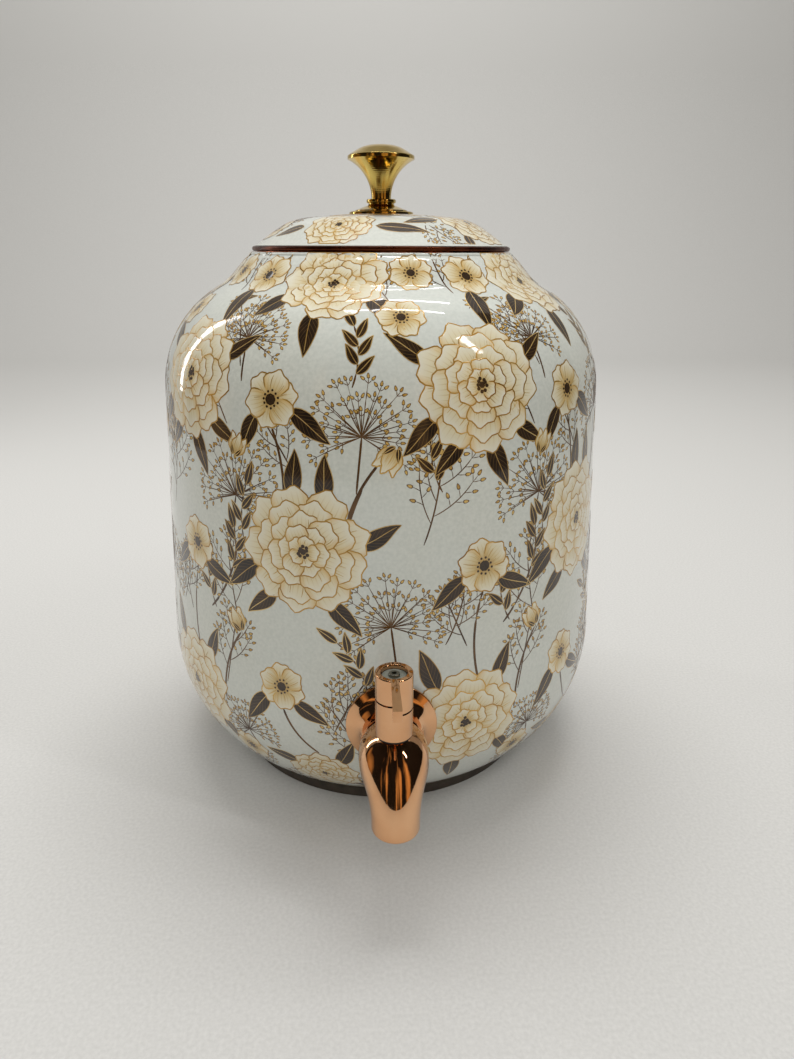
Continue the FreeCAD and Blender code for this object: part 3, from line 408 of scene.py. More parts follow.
NODE_MATERIALS = {
    "knob_rosette": BRASS,
    "knob": BRASS,
    "knob_washer": STEEL,
    "knob_screw": STEEL,
    "lid_skirt": INNER_COPPER,
    "lid_rim_ring": BARE_COPPER,
    "tap_body": ROSE,
    "tap_flange": ROSE,
    "bonnet": ROSE,
    "tap_handle": ROSE,
    "handle_cap_disc": CAP,
    "handle_screw": SCREW_STEEL,
    "outer_gasket": RUBBER,
    "inner_gasket": RUBBER,
    "bonnet_seal": RUBBER,
    "seat_seal": RUBBER,
    "spindle_o_rings": RUBBER,
    "clamp_washer": STEEL,
    "lock_nut": BRASS,
    "spindle": BRASS,
    "fixed_disc": CERAMIC,
    "moving_disc": CERAMIC,
    "thrust_washer": PLASTIC,
    "foot_ring": FOOT_PAINTED_SHADE,
}
for node, material in NODE_MATERIALS.items():
    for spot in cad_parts[node].material_slots:
        spot.link = "OBJECT"
        spot.material = material


# The vessel's and the lid's sheets, lacquered outside and bare copper inside

LACQUERED_ROLL_POINTS = 6
POT_STEP = 3.0
LID_STEP = 2.0
pot_chain = refined(rounded(POT_OUTLINE), POT_STEP)
lid_chain = refined(rounded(LID_OUTLINE), LID_STEP)
lid_chain[:, 1] += LID_PLANE


def mouth_roll(radius, last, step):
    """Points round the mouth's roll, from its outer side up and over to an angle in degrees."""
    points = []
    for degrees in range(0, last + 1, step):
        angle = math.radians(degrees)
        points.append((MOUTH_RADIUS + radius * math.cos(angle), MOUTH_HEIGHT + radius * math.sin(angle)))
    return points


def below_mouth(points, gap):
    """The points of a chain that lie at least so far below the middle of the mouth's roll."""
    return points[points[:, 1] < MOUTH_HEIGHT - gap]


def make_vessel():
    outside = below_mouth(set_off(pot_chain, -SKIN_DEPTH), 0.4)
    roll = mouth_roll(MOUTH_ROLL, 210, 15)
    inside = below_mouth(set_off(pot_chain, -SHEET)[::-1], 2.0)
    profile = [*outside, *roll, *inside]
    bare_from = len(outside) + LACQUERED_ROLL_POINTS
    vessel = turned("vessel_dressed", profile, [GROUND, INNER_COPPER], bare_from)
    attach(vessel, "pot")
    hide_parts("vessel_base", "vessel_wall", "vessel_neck")


def make_lid():
    outside = set_off(lid_chain, SKIN_DEPTH)
    inside = set_off(lid_chain, SHEET)[::-1]
    profile = [*outside, *inside]
    lid = turned("lid_dressed", profile, [GROUND, INNER_COPPER], len(outside))
    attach(lid, "lid")
    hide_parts("lid_shell")


make_vessel()
make_lid()


# The print: raised plates and lines, in motifs spread over each skin


def swung(grid, turn, centre=(0.0, 0.0)):
    """Points (x, y) turned, and moved to a centre."""
    cosine, sine = math.cos(turn), math.sin(turn)
    x = centre[0] + grid[..., 0] * cosine - grid[..., 1] * sine
    y = centre[1] + grid[..., 0] * sine + grid[..., 1] * cosine
    return np.stack([x, y], axis=-1)


class Skin:
    """A printed surface. A place on it is an angle and a distance along its outline.

    The print runs from the distance low to as far as edge before the outline's end.
    """

    def __init__(self, chain, outward, name, body, repeats, low, edge):
        self.chain = chain
        self.normals = side_normals(chain) * outward
        steps = np.linalg.norm(np.diff(chain, axis=0), axis=1)
        self.lengths = np.concatenate([[0.0], np.cumsum(steps)])
        self.name = name
        self.body = body
        self.repeats = repeats
        self.low = low
        self.high = self.lengths[-1] - edge
        self.plates = []
        self.dots = []
        self.lines = []

    def radius(self, reach):
        return np.interp(reach, self.lengths, self.chain[:, 0])

    def points(self, places, lift):
        """Points at a height above the skin, for places (angle, reach)."""
        reach = places[..., 1]
        height = lift - SKIN_DEPTH
        normal_r = np.interp(reach, self.lengths, self.normals[:, 0])
        normal_z = np.interp(reach, self.lengths, self.normals[:, 1])
        radius = self.radius(reach) + normal_r * height
        up = np.interp(reach, self.lengths, self.chain[:, 1]) + normal_z * height
        angle = places[..., 0]
        return np.stack([radius * np.sin(angle), -radius * np.cos(angle), up], axis=-1)

    def wrap(self, local, centre, turn):
        """Places for points (x, y) in millimetres about a centre, turned and laid on the wall."""
        flat = swung(local, turn)
        reach = np.clip(centre[1] + flat[..., 1], self.low, self.high)
        return np.stack([centre[0] + flat[..., 0] / self.radius(reach), reach], axis=-1)


def print_chain():
    """The pot's outline with the outer quarter of its rolled mouth, which the print covers too."""
    roll = mouth_roll(MOUTH_ROLL + SKIN_DEPTH, 80, 10)
    return refined(np.array([*below_mouth(pot_chain, 0.6), *roll]), POT_STEP)


class DomeSkin(Skin):
    """A skin whose print is laid on it as on a flat sheet, about the axis."""

    def wrap(self, local, centre, turn):
        flat = swung(local, turn, centre)
        x, y = flat[..., 0], flat[..., 1]
        reach = np.clip(np.hypot(x, y), self.low, self.high)
        return np.stack([np.arctan2(x, -y), reach], axis=-1)


# Heights above the ground: of level 0, from level to level, and of the crest of a line above its
# level. A plate's sides go down into the ground, and a line's foot into what it lies on.
FIRST_LIFT = 0.03
LEVEL_STEP = 0.012
LINE_RISE = 0.05
VEIN_RISE = 0.035
ROOT = 0.06
LINE_ROOT = 0.02


def perimeter(rows, columns):
    """Indices round the edge of a grid, in order."""
    index = np.arange(rows * columns).reshape(rows, columns)
    return np.array([*index[0, :-1], *index[:-1, -1], *index[-1, :0:-1], *index[:0:-1, 0]])


class Ink:
    """Everything printed in one colour on one skin, gathered into one mesh."""

    def __init__(self):
        self.points = []
        self.uvs = []
        self.faces = {}
        self.count = 0

    def add(self, points, uvs, blocks):
        """Adds points, with blocks of faces that have the same number of corners."""
        self.points.append(points)
        self.uvs.append(uvs)
        for block in blocks:
            self.faces.setdefault(block.shape[1], []).append(block + self.count)
        self.count += len(points)

    def build(self, name, material, body, repeats):
        points = np.concatenate(self.points)
        uvs = np.concatenate(self.uvs)
        copies = []
        for index in range(repeats):
            turn = index * TURN / repeats
            about = np.array(Matrix.Rotation(turn, 3, "Z"))
            copies.append(points @ about.T)
        corners, totals = [], []
        for size, blocks in sorted(self.faces.items()):
            block = np.concatenate(blocks)
            for index in range(repeats):
                corners.append((block + index * self.count).ravel())
                totals.append(np.full(len(block), size))
        corners = np.concatenate(corners).astype(np.int32)
        totals = np.concatenate(totals).astype(np.int32)
        starts = np.concatenate([[0], np.cumsum(totals)[:-1]]).astype(np.int32)
        mesh = bpy.data.meshes.new(name)
        mesh.vertices.add(self.count * repeats)
        mesh.vertices.foreach_set("co", (np.concatenate(copies) * MM).ravel())
        mesh.loops.add(len(corners))
        mesh.loops.foreach_set("vertex_index", corners)
        mesh.polygons.add(len(totals))
        mesh.polygons.foreach_set("loop_start", starts)
        mesh.polygons.foreach_set("loop_total", totals)
        mesh.update(calc_edges=True)
        layer = mesh.uv_layers.new(name="UVMap")
        layer.data.foreach_set("uv", np.tile(uvs, (repeats, 1))[corners].ravel())
        mesh.validate()
        mesh.shade_smooth()
        mesh.set_sharp_from_angle(angle=SHARP_PRINT)
        mesh.materials.append(material)
        piece = bpy.data.objects.new(name, mesh)
        bpy.context.scene.collection.objects.link(piece)
        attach(piece, body)


def lay_plate(skin, ink, grid, level):
    """A raised patch from a grid of places, rows along it and columns across."""
    skin.plates.append((ink, grid, level))


def lay_line(skin, ink, places, level, width, rise=LINE_RISE):
    skin.lines.append((ink, places, level, width, rise))


def inside(points, outline):
    """Which of the points lie inside a closed outline."""
    x, y = points[:, :1], points[:, 1:]
    x0, y0 = outline[:, 0], outline[:, 1]
    x1, y1 = np.roll(x0, -1), np.roll(y0, -1)
    crosses = (y0 > y) != (y1 > y)
    with np.errstate(divide="ignore", invalid="ignore"):
        at = x0 + (y - y0) / (y1 - y0) * (x1 - x0)
    return np.count_nonzero(crosses & (x < at), axis=1) % 2 == 1


class Cover:
    """The plates and dots of a skin, with the copies that the neighbouring repeats bring."""

    def __init__(self, skin):
        step = TURN / skin.repeats
        shifts = (-step, 0.0, step) if skin.repeats > 1 else (0.0,)
        rims = [(ring, level) for _, ring, level in skin.dots]
        for _, grid, level in skin.plates:
            rims.append((grid.reshape(-1, 2)[perimeter(*grid.shape[:2])], level))
        self.rims = [rim + (shift, 0.0) for rim, _ in rims for shift in shifts]
        self.levels = np.repeat([level for _, level in rims], len(shifts))
        self.low = np.array([rim.min(axis=0) for rim in self.rims])
        self.high = np.array([rim.max(axis=0) for rim in self.rims])

    def over(self, places, level):
        """The outlines above a level that may cover some of the places."""
        near = np.all(self.low < places.max(axis=0), axis=1)
        near &= np.all(self.high > places.min(axis=0), axis=1)
        return [self.rims[index] for index in np.flatnonzero(near & (self.levels > level))]


def covered(points, outlines):
    """Which of the points lie inside any of the outlines."""
    hidden = np.zeros(len(points), dtype=bool)
    for outline in outlines:
        hidden |= inside(points, outline)
    return hidden


# Halvings of a step to find an edge, and how far above a dot a cover has to lie to count
BISECTIONS = 6
DOT_MARGIN = 1.0


def crossing(shown, hidden, outlines):
    """The place between two where a cover begins."""
    for _ in range(BISECTIONS):
        middle = (shown + hidden) / 2
        if covered(middle[None, :], outlines)[0]:
            hidden = middle
        else:
            shown = middle
    return shown


def shown_runs(places, outlines):
    """The stretches of a line that no plate covers, cut where they go under an edge."""
    states = covered(places, outlines)
    run, runs = [], []
    for index, point in enumerate(places):
        if not states[index]:
            if index and states[index - 1]:
                run = [crossing(point, places[index - 1], outlines)]
            run.append(point)
        elif run:
            run.append(crossing(places[index - 1], point, outlines))
            runs.append(np.array(run))
            run = []
    if len(run) > 1:
        runs.append(np.array(run))
    return runs


def plate_mesh(skin, grid, level):
    rows, columns = grid.shape[:2]
    lift = FIRST_LIFT + LEVEL_STEP * level
    edge = perimeter(rows, columns)
    flat = grid.reshape(-1, 2)
    points = np.concatenate([skin.points(flat, lift), skin.points(flat[edge], -ROOT)])
    across, along = np.meshgrid(np.linspace(0, 1, columns), np.linspace(0, 1, rows))
    uvs = np.stack([across, along], axis=-1).reshape(-1, 2)
    index = np.arange(rows * columns).reshape(rows, columns)
    corners = [index[:-1, :-1], index[:-1, 1:], index[1:, 1:], index[1:, :-1]]
    top = np.stack(corners, axis=-1).reshape(-1, 4)
    foot = rows * columns + np.arange(len(edge))
    sides = np.stack([np.roll(edge, -1), edge, foot, np.roll(foot, -1)], axis=-1)
    return points, np.concatenate([uvs, uvs[edge]]), [top, sides, foot[::-1][None, :]]


def dot_mesh(skin, ring, level):
    lift = FIRST_LIFT + LEVEL_STEP * level
    count = len(ring)
    middle = ring.mean(axis=0)[None, :]
    top = skin.points(np.concatenate([ring, middle]), lift)
    points = np.concatenate([top, skin.points(ring, -ROOT)])
    uvs = np.zeros((len(points), 2))
    uvs[count, 1] = 1.0
    i = np.arange(count)
    after = (i + 1) % count
    fan = np.stack([i, after, np.full(count, count)], axis=-1)
    foot = count + 1 + i
    sides = np.stack([after, i, foot, count + 1 + after], axis=-1)
    return points, uvs, [fan, sides, foot[::-1][None, :]]


def line_mesh(skin, places, level, width, rise):
    """A ridge of three sides along a run of places, drawn in at both ends."""
    lift = FIRST_LIFT + LEVEL_STEP * level
    scale = np.stack([skin.radius(places[:, 1]), np.ones(len(places))], axis=-1)
    along = np.gradient(places, axis=0) * scale
    along /= np.maximum(np.linalg.norm(along, axis=1), 1e-9)[:, None]
    half = np.full(len(places), width / 2)
    half[[0, -1]] *= 0.5
    side = np.stack([-along[:, 1], along[:, 0]], axis=-1) * half[:, None] / scale
    left = skin.points(places + side, lift - LINE_ROOT)
    right = skin.points(places - side, lift - LINE_ROOT)
    crest = skin.points(places, lift + rise)
    count = len(places)
    points = np.concatenate([left, right, crest])
    i = np.arange(count - 1)
    crest_low = 2 * count + i
    right_low = count + i
    quads = [
        np.stack([i, i + 1, crest_low + 1, crest_low], axis=-1),
        np.stack([crest_low, crest_low + 1, right_low + 1, right_low], axis=-1),
        np.stack([right_low, right_low + 1, i + 1, i], axis=-1),
    ]
    ends = np.array([[0, 2 * count, count], [count - 1, 2 * count - 1, 3 * count - 1]])
    return points, np.zeros((len(points), 2)), [np.concatenate(quads), ends]


def make_print(skin, materials):
    """Turns the layout into one mesh for each colour, repeated round the axis."""
    inks = {}
    cover = Cover(skin)
    for ink, grid, level in skin.plates:
        inks.setdefault(ink, Ink()).add(*plate_mesh(skin, grid, level))
    for ink, ring, level in skin.dots:
        if not covered(ring, cover.over(ring, level + DOT_MARGIN)).all():
            inks.setdefault(ink, Ink()).add(*dot_mesh(skin, ring, level))
    for ink, places, level, width, rise in skin.lines:
        for run in shown_runs(places, cover.over(places, level)):
            inks.setdefault(ink, Ink()).add(*line_mesh(skin, run, level, width, rise))
    for ink, gathered in inks.items():
        gathered.build(f"{skin.name}_{ink}", materials[ink], skin.body, skin.repeats)


rng = np.random.default_rng(41)
ROUND = np.linspace(0.0, TURN, 8, endpoint=False)

# Levels of the motifs, from the ground up
STEM_LEVEL = 0
SPRIG_LEVEL = 2.2
LEAF_LEVEL = 3
BLOOM_LEVEL = 5
BUD_LEVEL = 5
FLOWER_LEVEL = 6

# Widths of the lines
PETAL_EDGE = 0.68
PETAL_VEIN = 0.42
LEAF_EDGE = 0.42
LEAF_RIB = 0.46
TWIG_STEM = 0.36
RAY_STEM = 0.4
SHOOT_STEM = 0.46
SPRAY_STEM = 0.7
SPRIG_STEM = 0.8
HEAD_STEM = 0.9
LONG_STEM = 1.15


def petal_grid(start, length, width, notch, rows=6, columns=9, tip=0.62, bias=0.75):
    """A petal that points along Y, as a grid of (x, y); notch makes its outer edge wavy."""
    t = np.linspace(0.0, 1.0, rows)[:, None]
    s = np.linspace(-1.0, 1.0, columns)[None, :]
    spread = np.sin(math.pi * (0.1 + (tip - 0.1) * t**bias))
    phase = rng.uniform(0, TURN)
    wave = notch * np.sin(1.7 * math.pi * s + phase)
    y = start + length * t * (1.0 - 0.24 * s**2 * t + wave * t**3)
    x = s * width / 2 * spread * (1.0 + 0.04 * np.sin(9.0 * t + phase))
    return np.stack([x, y], axis=-1)


def edge_of(grid):
    """The two sides and the tip of a petal, as one line."""
    return np.concatenate([grid[1:, 0], grid[-1, 1:-1], grid[1:, -1][::-1]])


def petal(skin, centre, turn, grid, level):
    """A petal with its edge and a few short veins drawn in gold."""
    lay_plate(skin, "petal", skin.wrap(grid, centre, turn), level)
    lay_line(skin, "gold", skin.wrap(edge_of(grid), centre, turn), level, PETAL_EDGE)
    columns = grid.shape[1]
    for share in (0.33, 0.67):
        share += rng.normal(0.0, 0.05)
        column = np.clip(int(share * columns), 1, columns - 2)
        last = rng.integers(3, grid.shape[0])
        left, right = grid[1:last, column], grid[1:last, column + 1]
        vein = skin.wrap(left + (right - left) * 0.5, centre, turn)
        lay_line(skin, "gold", vein, level, PETAL_VEIN, VEIN_RISE)


def dot(skin, centre, turn, at, radius, level):
    """A small round dark plate at a point of the motif."""
    ring = np.stack([np.cos(ROUND), np.sin(ROUND)], axis=-1) * radius + np.asarray(at)
    skin.dots.append(("leaf", skin.wrap(ring, centre, turn), level))


def seed(skin, centre, turn, at, heading, length, level):
    """A small pointed oval at the end of a twig."""
    along = length / 2 * (1.0 + np.cos(ROUND))
    across = length * 0.27 * np.sin(ROUND) * (1.0 - 0.35 * np.cos(ROUND))
    ring = swung(np.stack([along, across], axis=-1), heading) + np.asarray(at)
    skin.dots.append(("seed", skin.wrap(ring, centre, turn), level))


# Rings of a bloom, from the outer one in: petals, and their start, length and width as shares of
# its size
RINGS = [
    (9, 0.42, 0.58, 0.62),
    (8, 0.3, 0.5, 0.56),
    (7, 0.18, 0.42, 0.48),
    (6, 0.09, 0.32, 0.38),
    (5, 0.03, 0.22, 0.26),
]


def bloom(skin, centre, size, turn):
    """A many-petalled open flower with a dark heart. Neighbouring petals lie on two levels."""
    for ring, (count, start, length, width) in enumerate(RINGS):
        for index in range(count):
            angle = TURN * (index + 0.5 * (ring % 2)) / count + rng.normal(0.0, 0.06)
            grow = size * rng.uniform(0.93, 1.07)
            fine = (6, 9) if ring < 3 else (5, 7)
            grid = petal_grid(start * size, length * grow, width * size, 0.07, *fine)
            level = BLOOM_LEVEL + 2 * ring + index % 2
            if index == count - 1 and count % 2:
                level = BLOOM_LEVEL + 2 * ring + 0.5
            petal(skin, centre, turn, swung(grid, angle), level)
    heart = BLOOM_LEVEL + 2 * len(RINGS)
    dot(skin, centre, turn, (0, 0), size * 0.05, heart - 0.5)
    for index in range(9):
        angle = TURN * index / 9 + rng.normal(0, 0.1)
        away = size * rng.uniform(0.045, 0.1)
        at = (away * math.cos(angle), away * math.sin(angle))
        dot(skin, centre, turn, at, size * 0.03, heart + 0.3 * (index % 3))


def small_flower(skin, centre, size, turn):
    """Six petals round a dark heart with a ring of dots."""
    for index in range(6):
        angle = TURN * index / 6 + rng.normal(0.0, 0.05)
        grid = petal_grid(0.12 * size, 0.86 * size, 0.98 * size, 0.06, tip=0.7, bias=0.9)
        level = FLOWER_LEVEL + index % 2 + 0.5 * (index % 3 == 2)
        petal(skin, centre, turn, swung(grid, angle), level)
    dot(skin, centre, turn, (0, 0), size * 0.2, FLOWER_LEVEL + 3)
    for index in range(11):
        angle = TURN * index / 11
        away = size * rng.uniform(0.25, 0.31)
        at = (away * math.cos(angle), away * math.sin(angle))
        dot(skin, centre, turn, at, size * 0.045, FLOWER_LEVEL + 3.5)


def curve(start, heading, length, bend, count):
    """A bent line from a point: its points and its heading at the end."""
    steps = np.linspace(0.0, 1.0, count + 1)
    angles = heading + bend * steps
    x = np.cumsum(np.concatenate([[0.0], np.cos(angles[:-1])])) * length / count + start[0]
    y = np.cumsum(np.concatenate([[0.0], np.sin(angles[:-1])])) * length / count + start[1]
    return np.stack([x, y], axis=-1), angles[-1]


LEAF_ROWS = 12
LEAF_COLUMNS = 5


def leaf(skin, centre, turn, start, heading, length, width, bend, level=LEAF_LEVEL):
    """A pointed leaf along a rib that bends and turns back at the tip, with its edge and rib drawn."""
    t = np.linspace(0.0, 1.0, LEAF_ROWS)
    angles = heading + bend * (t - 1.1 * t**3)
    steps = np.stack([np.cos(angles[:-1]), np.sin(angles[:-1])], axis=-1) * length / (LEAF_ROWS - 1)
    rib = np.concatenate([[(0.0, 0.0)], np.cumsum(steps, axis=0)]) + np.asarray(start)
    side = np.stack([-np.sin(angles), np.cos(angles)], axis=-1)
    half = width / 2 * np.sin(math.pi * t**0.72) ** 0.95 + 0.05
    columns = np.linspace(-1.0, 1.0, LEAF_COLUMNS)
    grid = rib[:, None, :] + side[:, None, :] * (half[:, None] * columns[None, :])[..., None]
    lay_plate(skin, "leaf", skin.wrap(grid, centre, turn), level)
    outline = np.concatenate([grid[:, 0], grid[::-1, -1]])
    lay_line(skin, "trim", skin.wrap(outline, centre, turn), level, LEAF_EDGE)
    lay_line(skin, "trim", skin.wrap(rib[:-1], centre, turn), level, LEAF_RIB)


def stem(skin, centre, turn, points, width):
    lay_line(skin, "umber", skin.wrap(points, centre, turn), STEM_LEVEL, width)


def twig(skin, centre, turn, foot, heading, length, bead):
    """A short side shoot with a seed at its end."""
    line, end = curve(foot, heading, length, 0.2, 2)
    stem(skin, centre, turn, line, TWIG_STEM)
    seed(skin, centre, turn, line[-1], end, bead, rng.uniform(0.2, 0.9))


# Twigs of a shoot: the point of the shoot that each stands on, and its lean
SHOOT_TWIGS = [(3, 0.95), (4, -0.9), (5, 0.9), (6, -0.85), (8, 0.0), (8, 0.75), (8, -0.75)]


def spray(skin, centre, turn, size, pairs):
    """A stem with side shoots whose twigs end in seeds."""
    bead = 1.5 + 0.035 * size
    main, _ = curve((0, 0), math.pi / 2, size, rng.uniform(-0.5, 0.5), 14)
    stem(skin, centre, turn, main, SPRAY_STEM)
    for index in range(pairs):
        at = main[3 + int(index * 10 / pairs)]
        side = 1 if index % 2 else -1
        reach = size * (0.54 - 0.045 * index)
        shoot, _ = curve(at, math.pi / 2 - side * 0.8, reach, side * 0.55, 8)
        stem(skin, centre, turn, shoot, SHOOT_STEM)
        for place, lean in SHOOT_TWIGS:
            heading = math.pi / 2 - side * 0.45 + lean
            twig(skin, centre, turn, shoot[place], heading, size * 0.075, bead)
    for lean in (-0.6, 0.0, 0.6):
        twig(skin, centre, turn, main[-1], math.pi / 2 + lean, size * 0.08, bead)


# Rings of rays in a head, from the outer one in: rays, and their length as a share of the size
RAYS = [(15, 0.64), (12, 0.44), (9, 0.25)]


def ray_head(skin, centre, turn, size):
    """A fan of rays from one point, each with a fork of seeds at its end."""
    foot, _ = curve((0, -0.75 * size), math.pi / 2, 0.75 * size, 0.0, 8)
    stem(skin, centre, turn, foot, HEAD_STEM)
    for count, reach in RAYS:
        for index in range(count):
            share = (index + 0.5) / count - 0.5
            heading = math.pi / 2 + share * 4.4 + rng.normal(0.0, 0.04)
            length = size * reach * rng.uniform(0.94, 1.06)
            ray, end = curve((0, 0), heading, length, 0.25 * share, 5)
            stem(skin, centre, turn, ray, RAY_STEM)
            for lean in (-0.8, 0.0, 0.8):
                twig(skin, centre, turn, ray[-1], end + lean, size * 0.06, 1.2 + 0.04 * size)


def bud(skin, centre, size, turn):
    """Three closed petals in a cup of two small leaves."""
    for lean, lies in ((0.42, 0), (-0.42, 0.5), (0.0, 1)):
        grid = petal_grid(0.0, size, 0.62 * size, 0.03, tip=0.85)
        petal(skin, centre, turn, swung(grid, lean), BUD_LEVEL + lies)
    for side in (-1, 1):
        start = (side * 0.05 * size, -0.08 * size)
        heading = math.pi / 2 - side * 0.75
        length, width = 0.55 * size, 0.2 * size
        leaf(skin, centre, turn, start, heading, length, width, side * 0.8, BUD_LEVEL + 1.5)


SPRIG_LEAF = 10.0
SPRIG_STEPS = 14


def sprig(skin, centre, turn, length, bend, leaves):
    """A bent stem with small leaves in turn on its two sides and one at its tip."""
    line, end = curve((0, 0), math.pi / 2, length, bend, SPRIG_STEPS)
    stem(skin, centre, turn, line, SPRIG_STEM)
    size = SPRIG_LEAF
    for index in range(leaves):
        place = 3 + int(index * 11 / leaves)
        ahead = line[min(place + 1, SPRIG_STEPS)] - line[place]
        heading = math.atan2(ahead[1], ahead[0]) + (0.75 if index % 2 else -0.75)
        lean = -0.6 if index % 2 else 0.6
        leaf(skin, centre, turn, line[place], heading, size, size * 0.36, lean, SPRIG_LEVEL)
    leaf(skin, centre, turn, line[-1], end, size * 1.1, size * 0.38, 0.3, SPRIG_LEVEL)


BLOOM_LEAF = 21.0


def leaves_round(skin, centre, away, headings):
    """Leaves that stand out from under a bloom, in pairs of headings and bends."""
    for heading, bend in headings:
        foot = (away * math.cos(heading), away * math.sin(heading))
        size = BLOOM_LEAF * rng.uniform(0.88, 1.1)
        leaf(skin, centre, 0.0, foot, heading + 0.25 * bend, size, size * 0.38, bend)


DEGREE = math.radians(1.0)


def lay_out_wall(skin):
    """One repeat of the body's print, 72 degrees wide. Centres are (degrees, distance)."""

    def at(degrees, reach):
        return (degrees * DEGREE, reach)

    for degrees, reach, size, turn in WALL_BLOOMS:
        bloom(skin, at(degrees, reach), size, turn)
    for degrees, reach, away, headings in WALL_LEAVES:
        leaves_round(skin, at(degrees, reach), away, headings)
    for degrees, reach, size, turn in WALL_FLOWERS:
        small_flower(skin, at(degrees, reach), size, turn)
    for degrees, reach, turn, size in WALL_HEADS:
        ray_head(skin, at(degrees, reach), turn, size)
    for degrees, reach, turn, size, pairs in WALL_SPRAYS:
        spray(skin, at(degrees, reach), turn, size, pairs)
    for degrees, reach, turn, length, bend, leaves in WALL_SPRIGS:
        sprig(skin, at(degrees, reach), turn, length, bend, leaves)
    for degrees, reach, size, turn in WALL_BUDS:
        bud(skin, at(degrees, reach), size, turn)
    for degrees, reach, heading, length, bend in WALL_STEMS:
        line, _ = curve((0, 0), heading, length, bend, 16)
        stem(skin, at(degrees, reach), 0.0, line, LONG_STEM)


# Degrees, distance, size, turn
WALL_BLOOMS = [
    (-19, 232, 28.0, 0.9),
    (17, 150, 27.0, 0.2),
    (20, 300, 27.0, 0.4),
    (-17, 350, 22.0, 0.1),
    (-17, 115, 17.0, 1.4),
]
WALL_FLOWERS = [
    (21, 224, 12.5, 0.3),
    (-26, 294, 12.0, 0.8),
    (-25, 167, 11.5, 0.1),
    (3, 330, 10.0, 0.5),
    (28, 354, 11.0, 0.2),
    (8, 356, 9.5, 0.9),
    (34, 122, 10.0, 0.6),
]
WALL_BUDS = [
    (1, 276, 11.0, 2.6),
    (36, 190, 10.5, 0.5),
    (-36, 270, 9.5, -0.4),
]

# Degrees, distance, distance of the leaves from the centre, (heading, bend) of each leaf
WALL_LEAVES = [
    (-19, 232, 23, [(1.2, 0.6), (1.75, -0.5), (0.15, 0.7), (3.5, 0.6), (4.1, -0.5), (5.2, 0.5)]),
    (17, 150, 22, [(2.2, -0.5), (2.9, 0.5), (0.9, 0.5), (-0.7, -0.5), (-1.7, 0.4), (3.7, 0.5)]),
    (20, 300, 22, [(3.7, 0.5), (4.3, -0.5), (-0.8, 0.5), (2.7, -0.5), (-1.4, 0.5), (0.4, 0.5)]),
    (-17, 350, 18, [(3.6, 0.5), (-0.5, -0.5), (4.5, 0.4)]),
    (28, 354, 9, [(4.4, 0.5)]),
    (-17, 115, 13, [(2.6, 0.5), (-0.5, -0.4), (0.9, 0.4)]),
    (21, 224, 9, [(-0.7, 0.6), (3.6, 0.5)]),
    (-26, 294, 9, [(3.9, 0.6), (-0.4, -0.5)]),
    (-25, 167, 8, [(-0.8, 0.5), (3.8, 0.5)]),
]

# Degrees, distance, turn, size
WALL_HEADS = [
    (0, 200, 0.12, 31.0),
    (36, 252, -0.2, 32.0),
    (-36, 136, 0.3, 24.0),
    (-6, 281, -0.1, 31.0),
    (37, 318, 0.1, 24.0),
]

# Degrees, distance, turn, size, pairs of shoots
WALL_SPRAYS = [
    (7, 236, -0.35, 44.0, 6),
    (-36, 190, 0.25, 42.0, 6),
    (-5, 126, 0.3, 38.0, 6),
    (34, 282, 0.5, 34.0, 5),
    (35, 94, 0.0, 26.0, 5),
    (-35, 306, 0.3, 32.0, 5),
    (2, 334, 0.5, 26.0, 4),
    (14, 94, 0.9, 24.0, 4),
    (-3, 88, 0.2, 24.0, 4),
    (31, 160, -0.2, 34.0, 5),
    (-20, 262, 0.5, 26.0, 4),
    (17, 188, 0.4, 28.0, 4),
    (-30, 88, -0.5, 22.0, 4),
    (20, 344, 0.3, 22.0, 4),
    (12, 190, -0.5, 32.0, 6),
    (-13, 146, -0.4, 32.0, 6),
]

# Degrees, distance, turn, length, bend, leaves
WALL_SPRIGS = [
    (-5, 166, 0.1, 30.0, 0.8, 5),
    (11, 258, 0.5, 26.0, -0.7, 4),
    (-34, 232, 0.2, 26.0, -0.6, 4),
    (-8, 300, -0.3, 26.0, 0.7, 5),
    (22, 334, -0.8, 24.0, 0.6, 4),
    (33, 214, -0.5, 24.0, 0.7, 4),
    (28, 196, 0.5, 26.0, -0.6, 4),
]

# Degrees, distance, heading, length, bend
WALL_STEMS = [
    (21, 214, -1.9, 44.0, 0.6),
    (-26, 284, -1.2, 36.0, -0.5),
    (1, 277, -2.4, 46.0, 0.7),
    (36, 188, -2.2, 40.0, 0.7),
    (-25, 158, -1.3, 30.0, 0.6),
    (0, 178, -1.3, 34.0, 0.8),
    (36, 230, -1.8, 40.0, -0.6),
    (-6, 260, -2.0, 30.0, 0.3),
]


def lay_out_dome(skin):
    """The lid's print: blooms and sprays round the knob, placed in millimetres from the axis."""
    bloom(skin, (-33.0, 27.0), 21.0, 0.3)
    bloom(skin, (39.0, -24.0), 19.0, 1.0)
    bloom(skin, (-20.0, -45.0), 16.0, 0.6)
    bloom(skin, (30.0, 44.0), 15.0, 0.2)
    small_flower(skin, (-49.0, -14.0), 9.5, 0.7)
    small_flower(skin, (10.0, -27.0), 8.0, 0.1)
    spray(skin, (20.0, 14.0), -1.3, 28.0, 6)
    spray(skin, (-24.0, -10.0), 1.9, 24.0, 5)
    spray(skin, (12.0, -38.0), -2.4, 24.0, 5)
    spray(skin, (-6.0, 28.0), 0.0, 26.0, 6)
    ray_head(skin, (50.0, 10.0), -1.2, 15.0)
    for centre, heading, length, width, bend in DOME_LEAVES:
        leaf(skin, centre, 0.0, (0, 0), heading, length, width, bend)


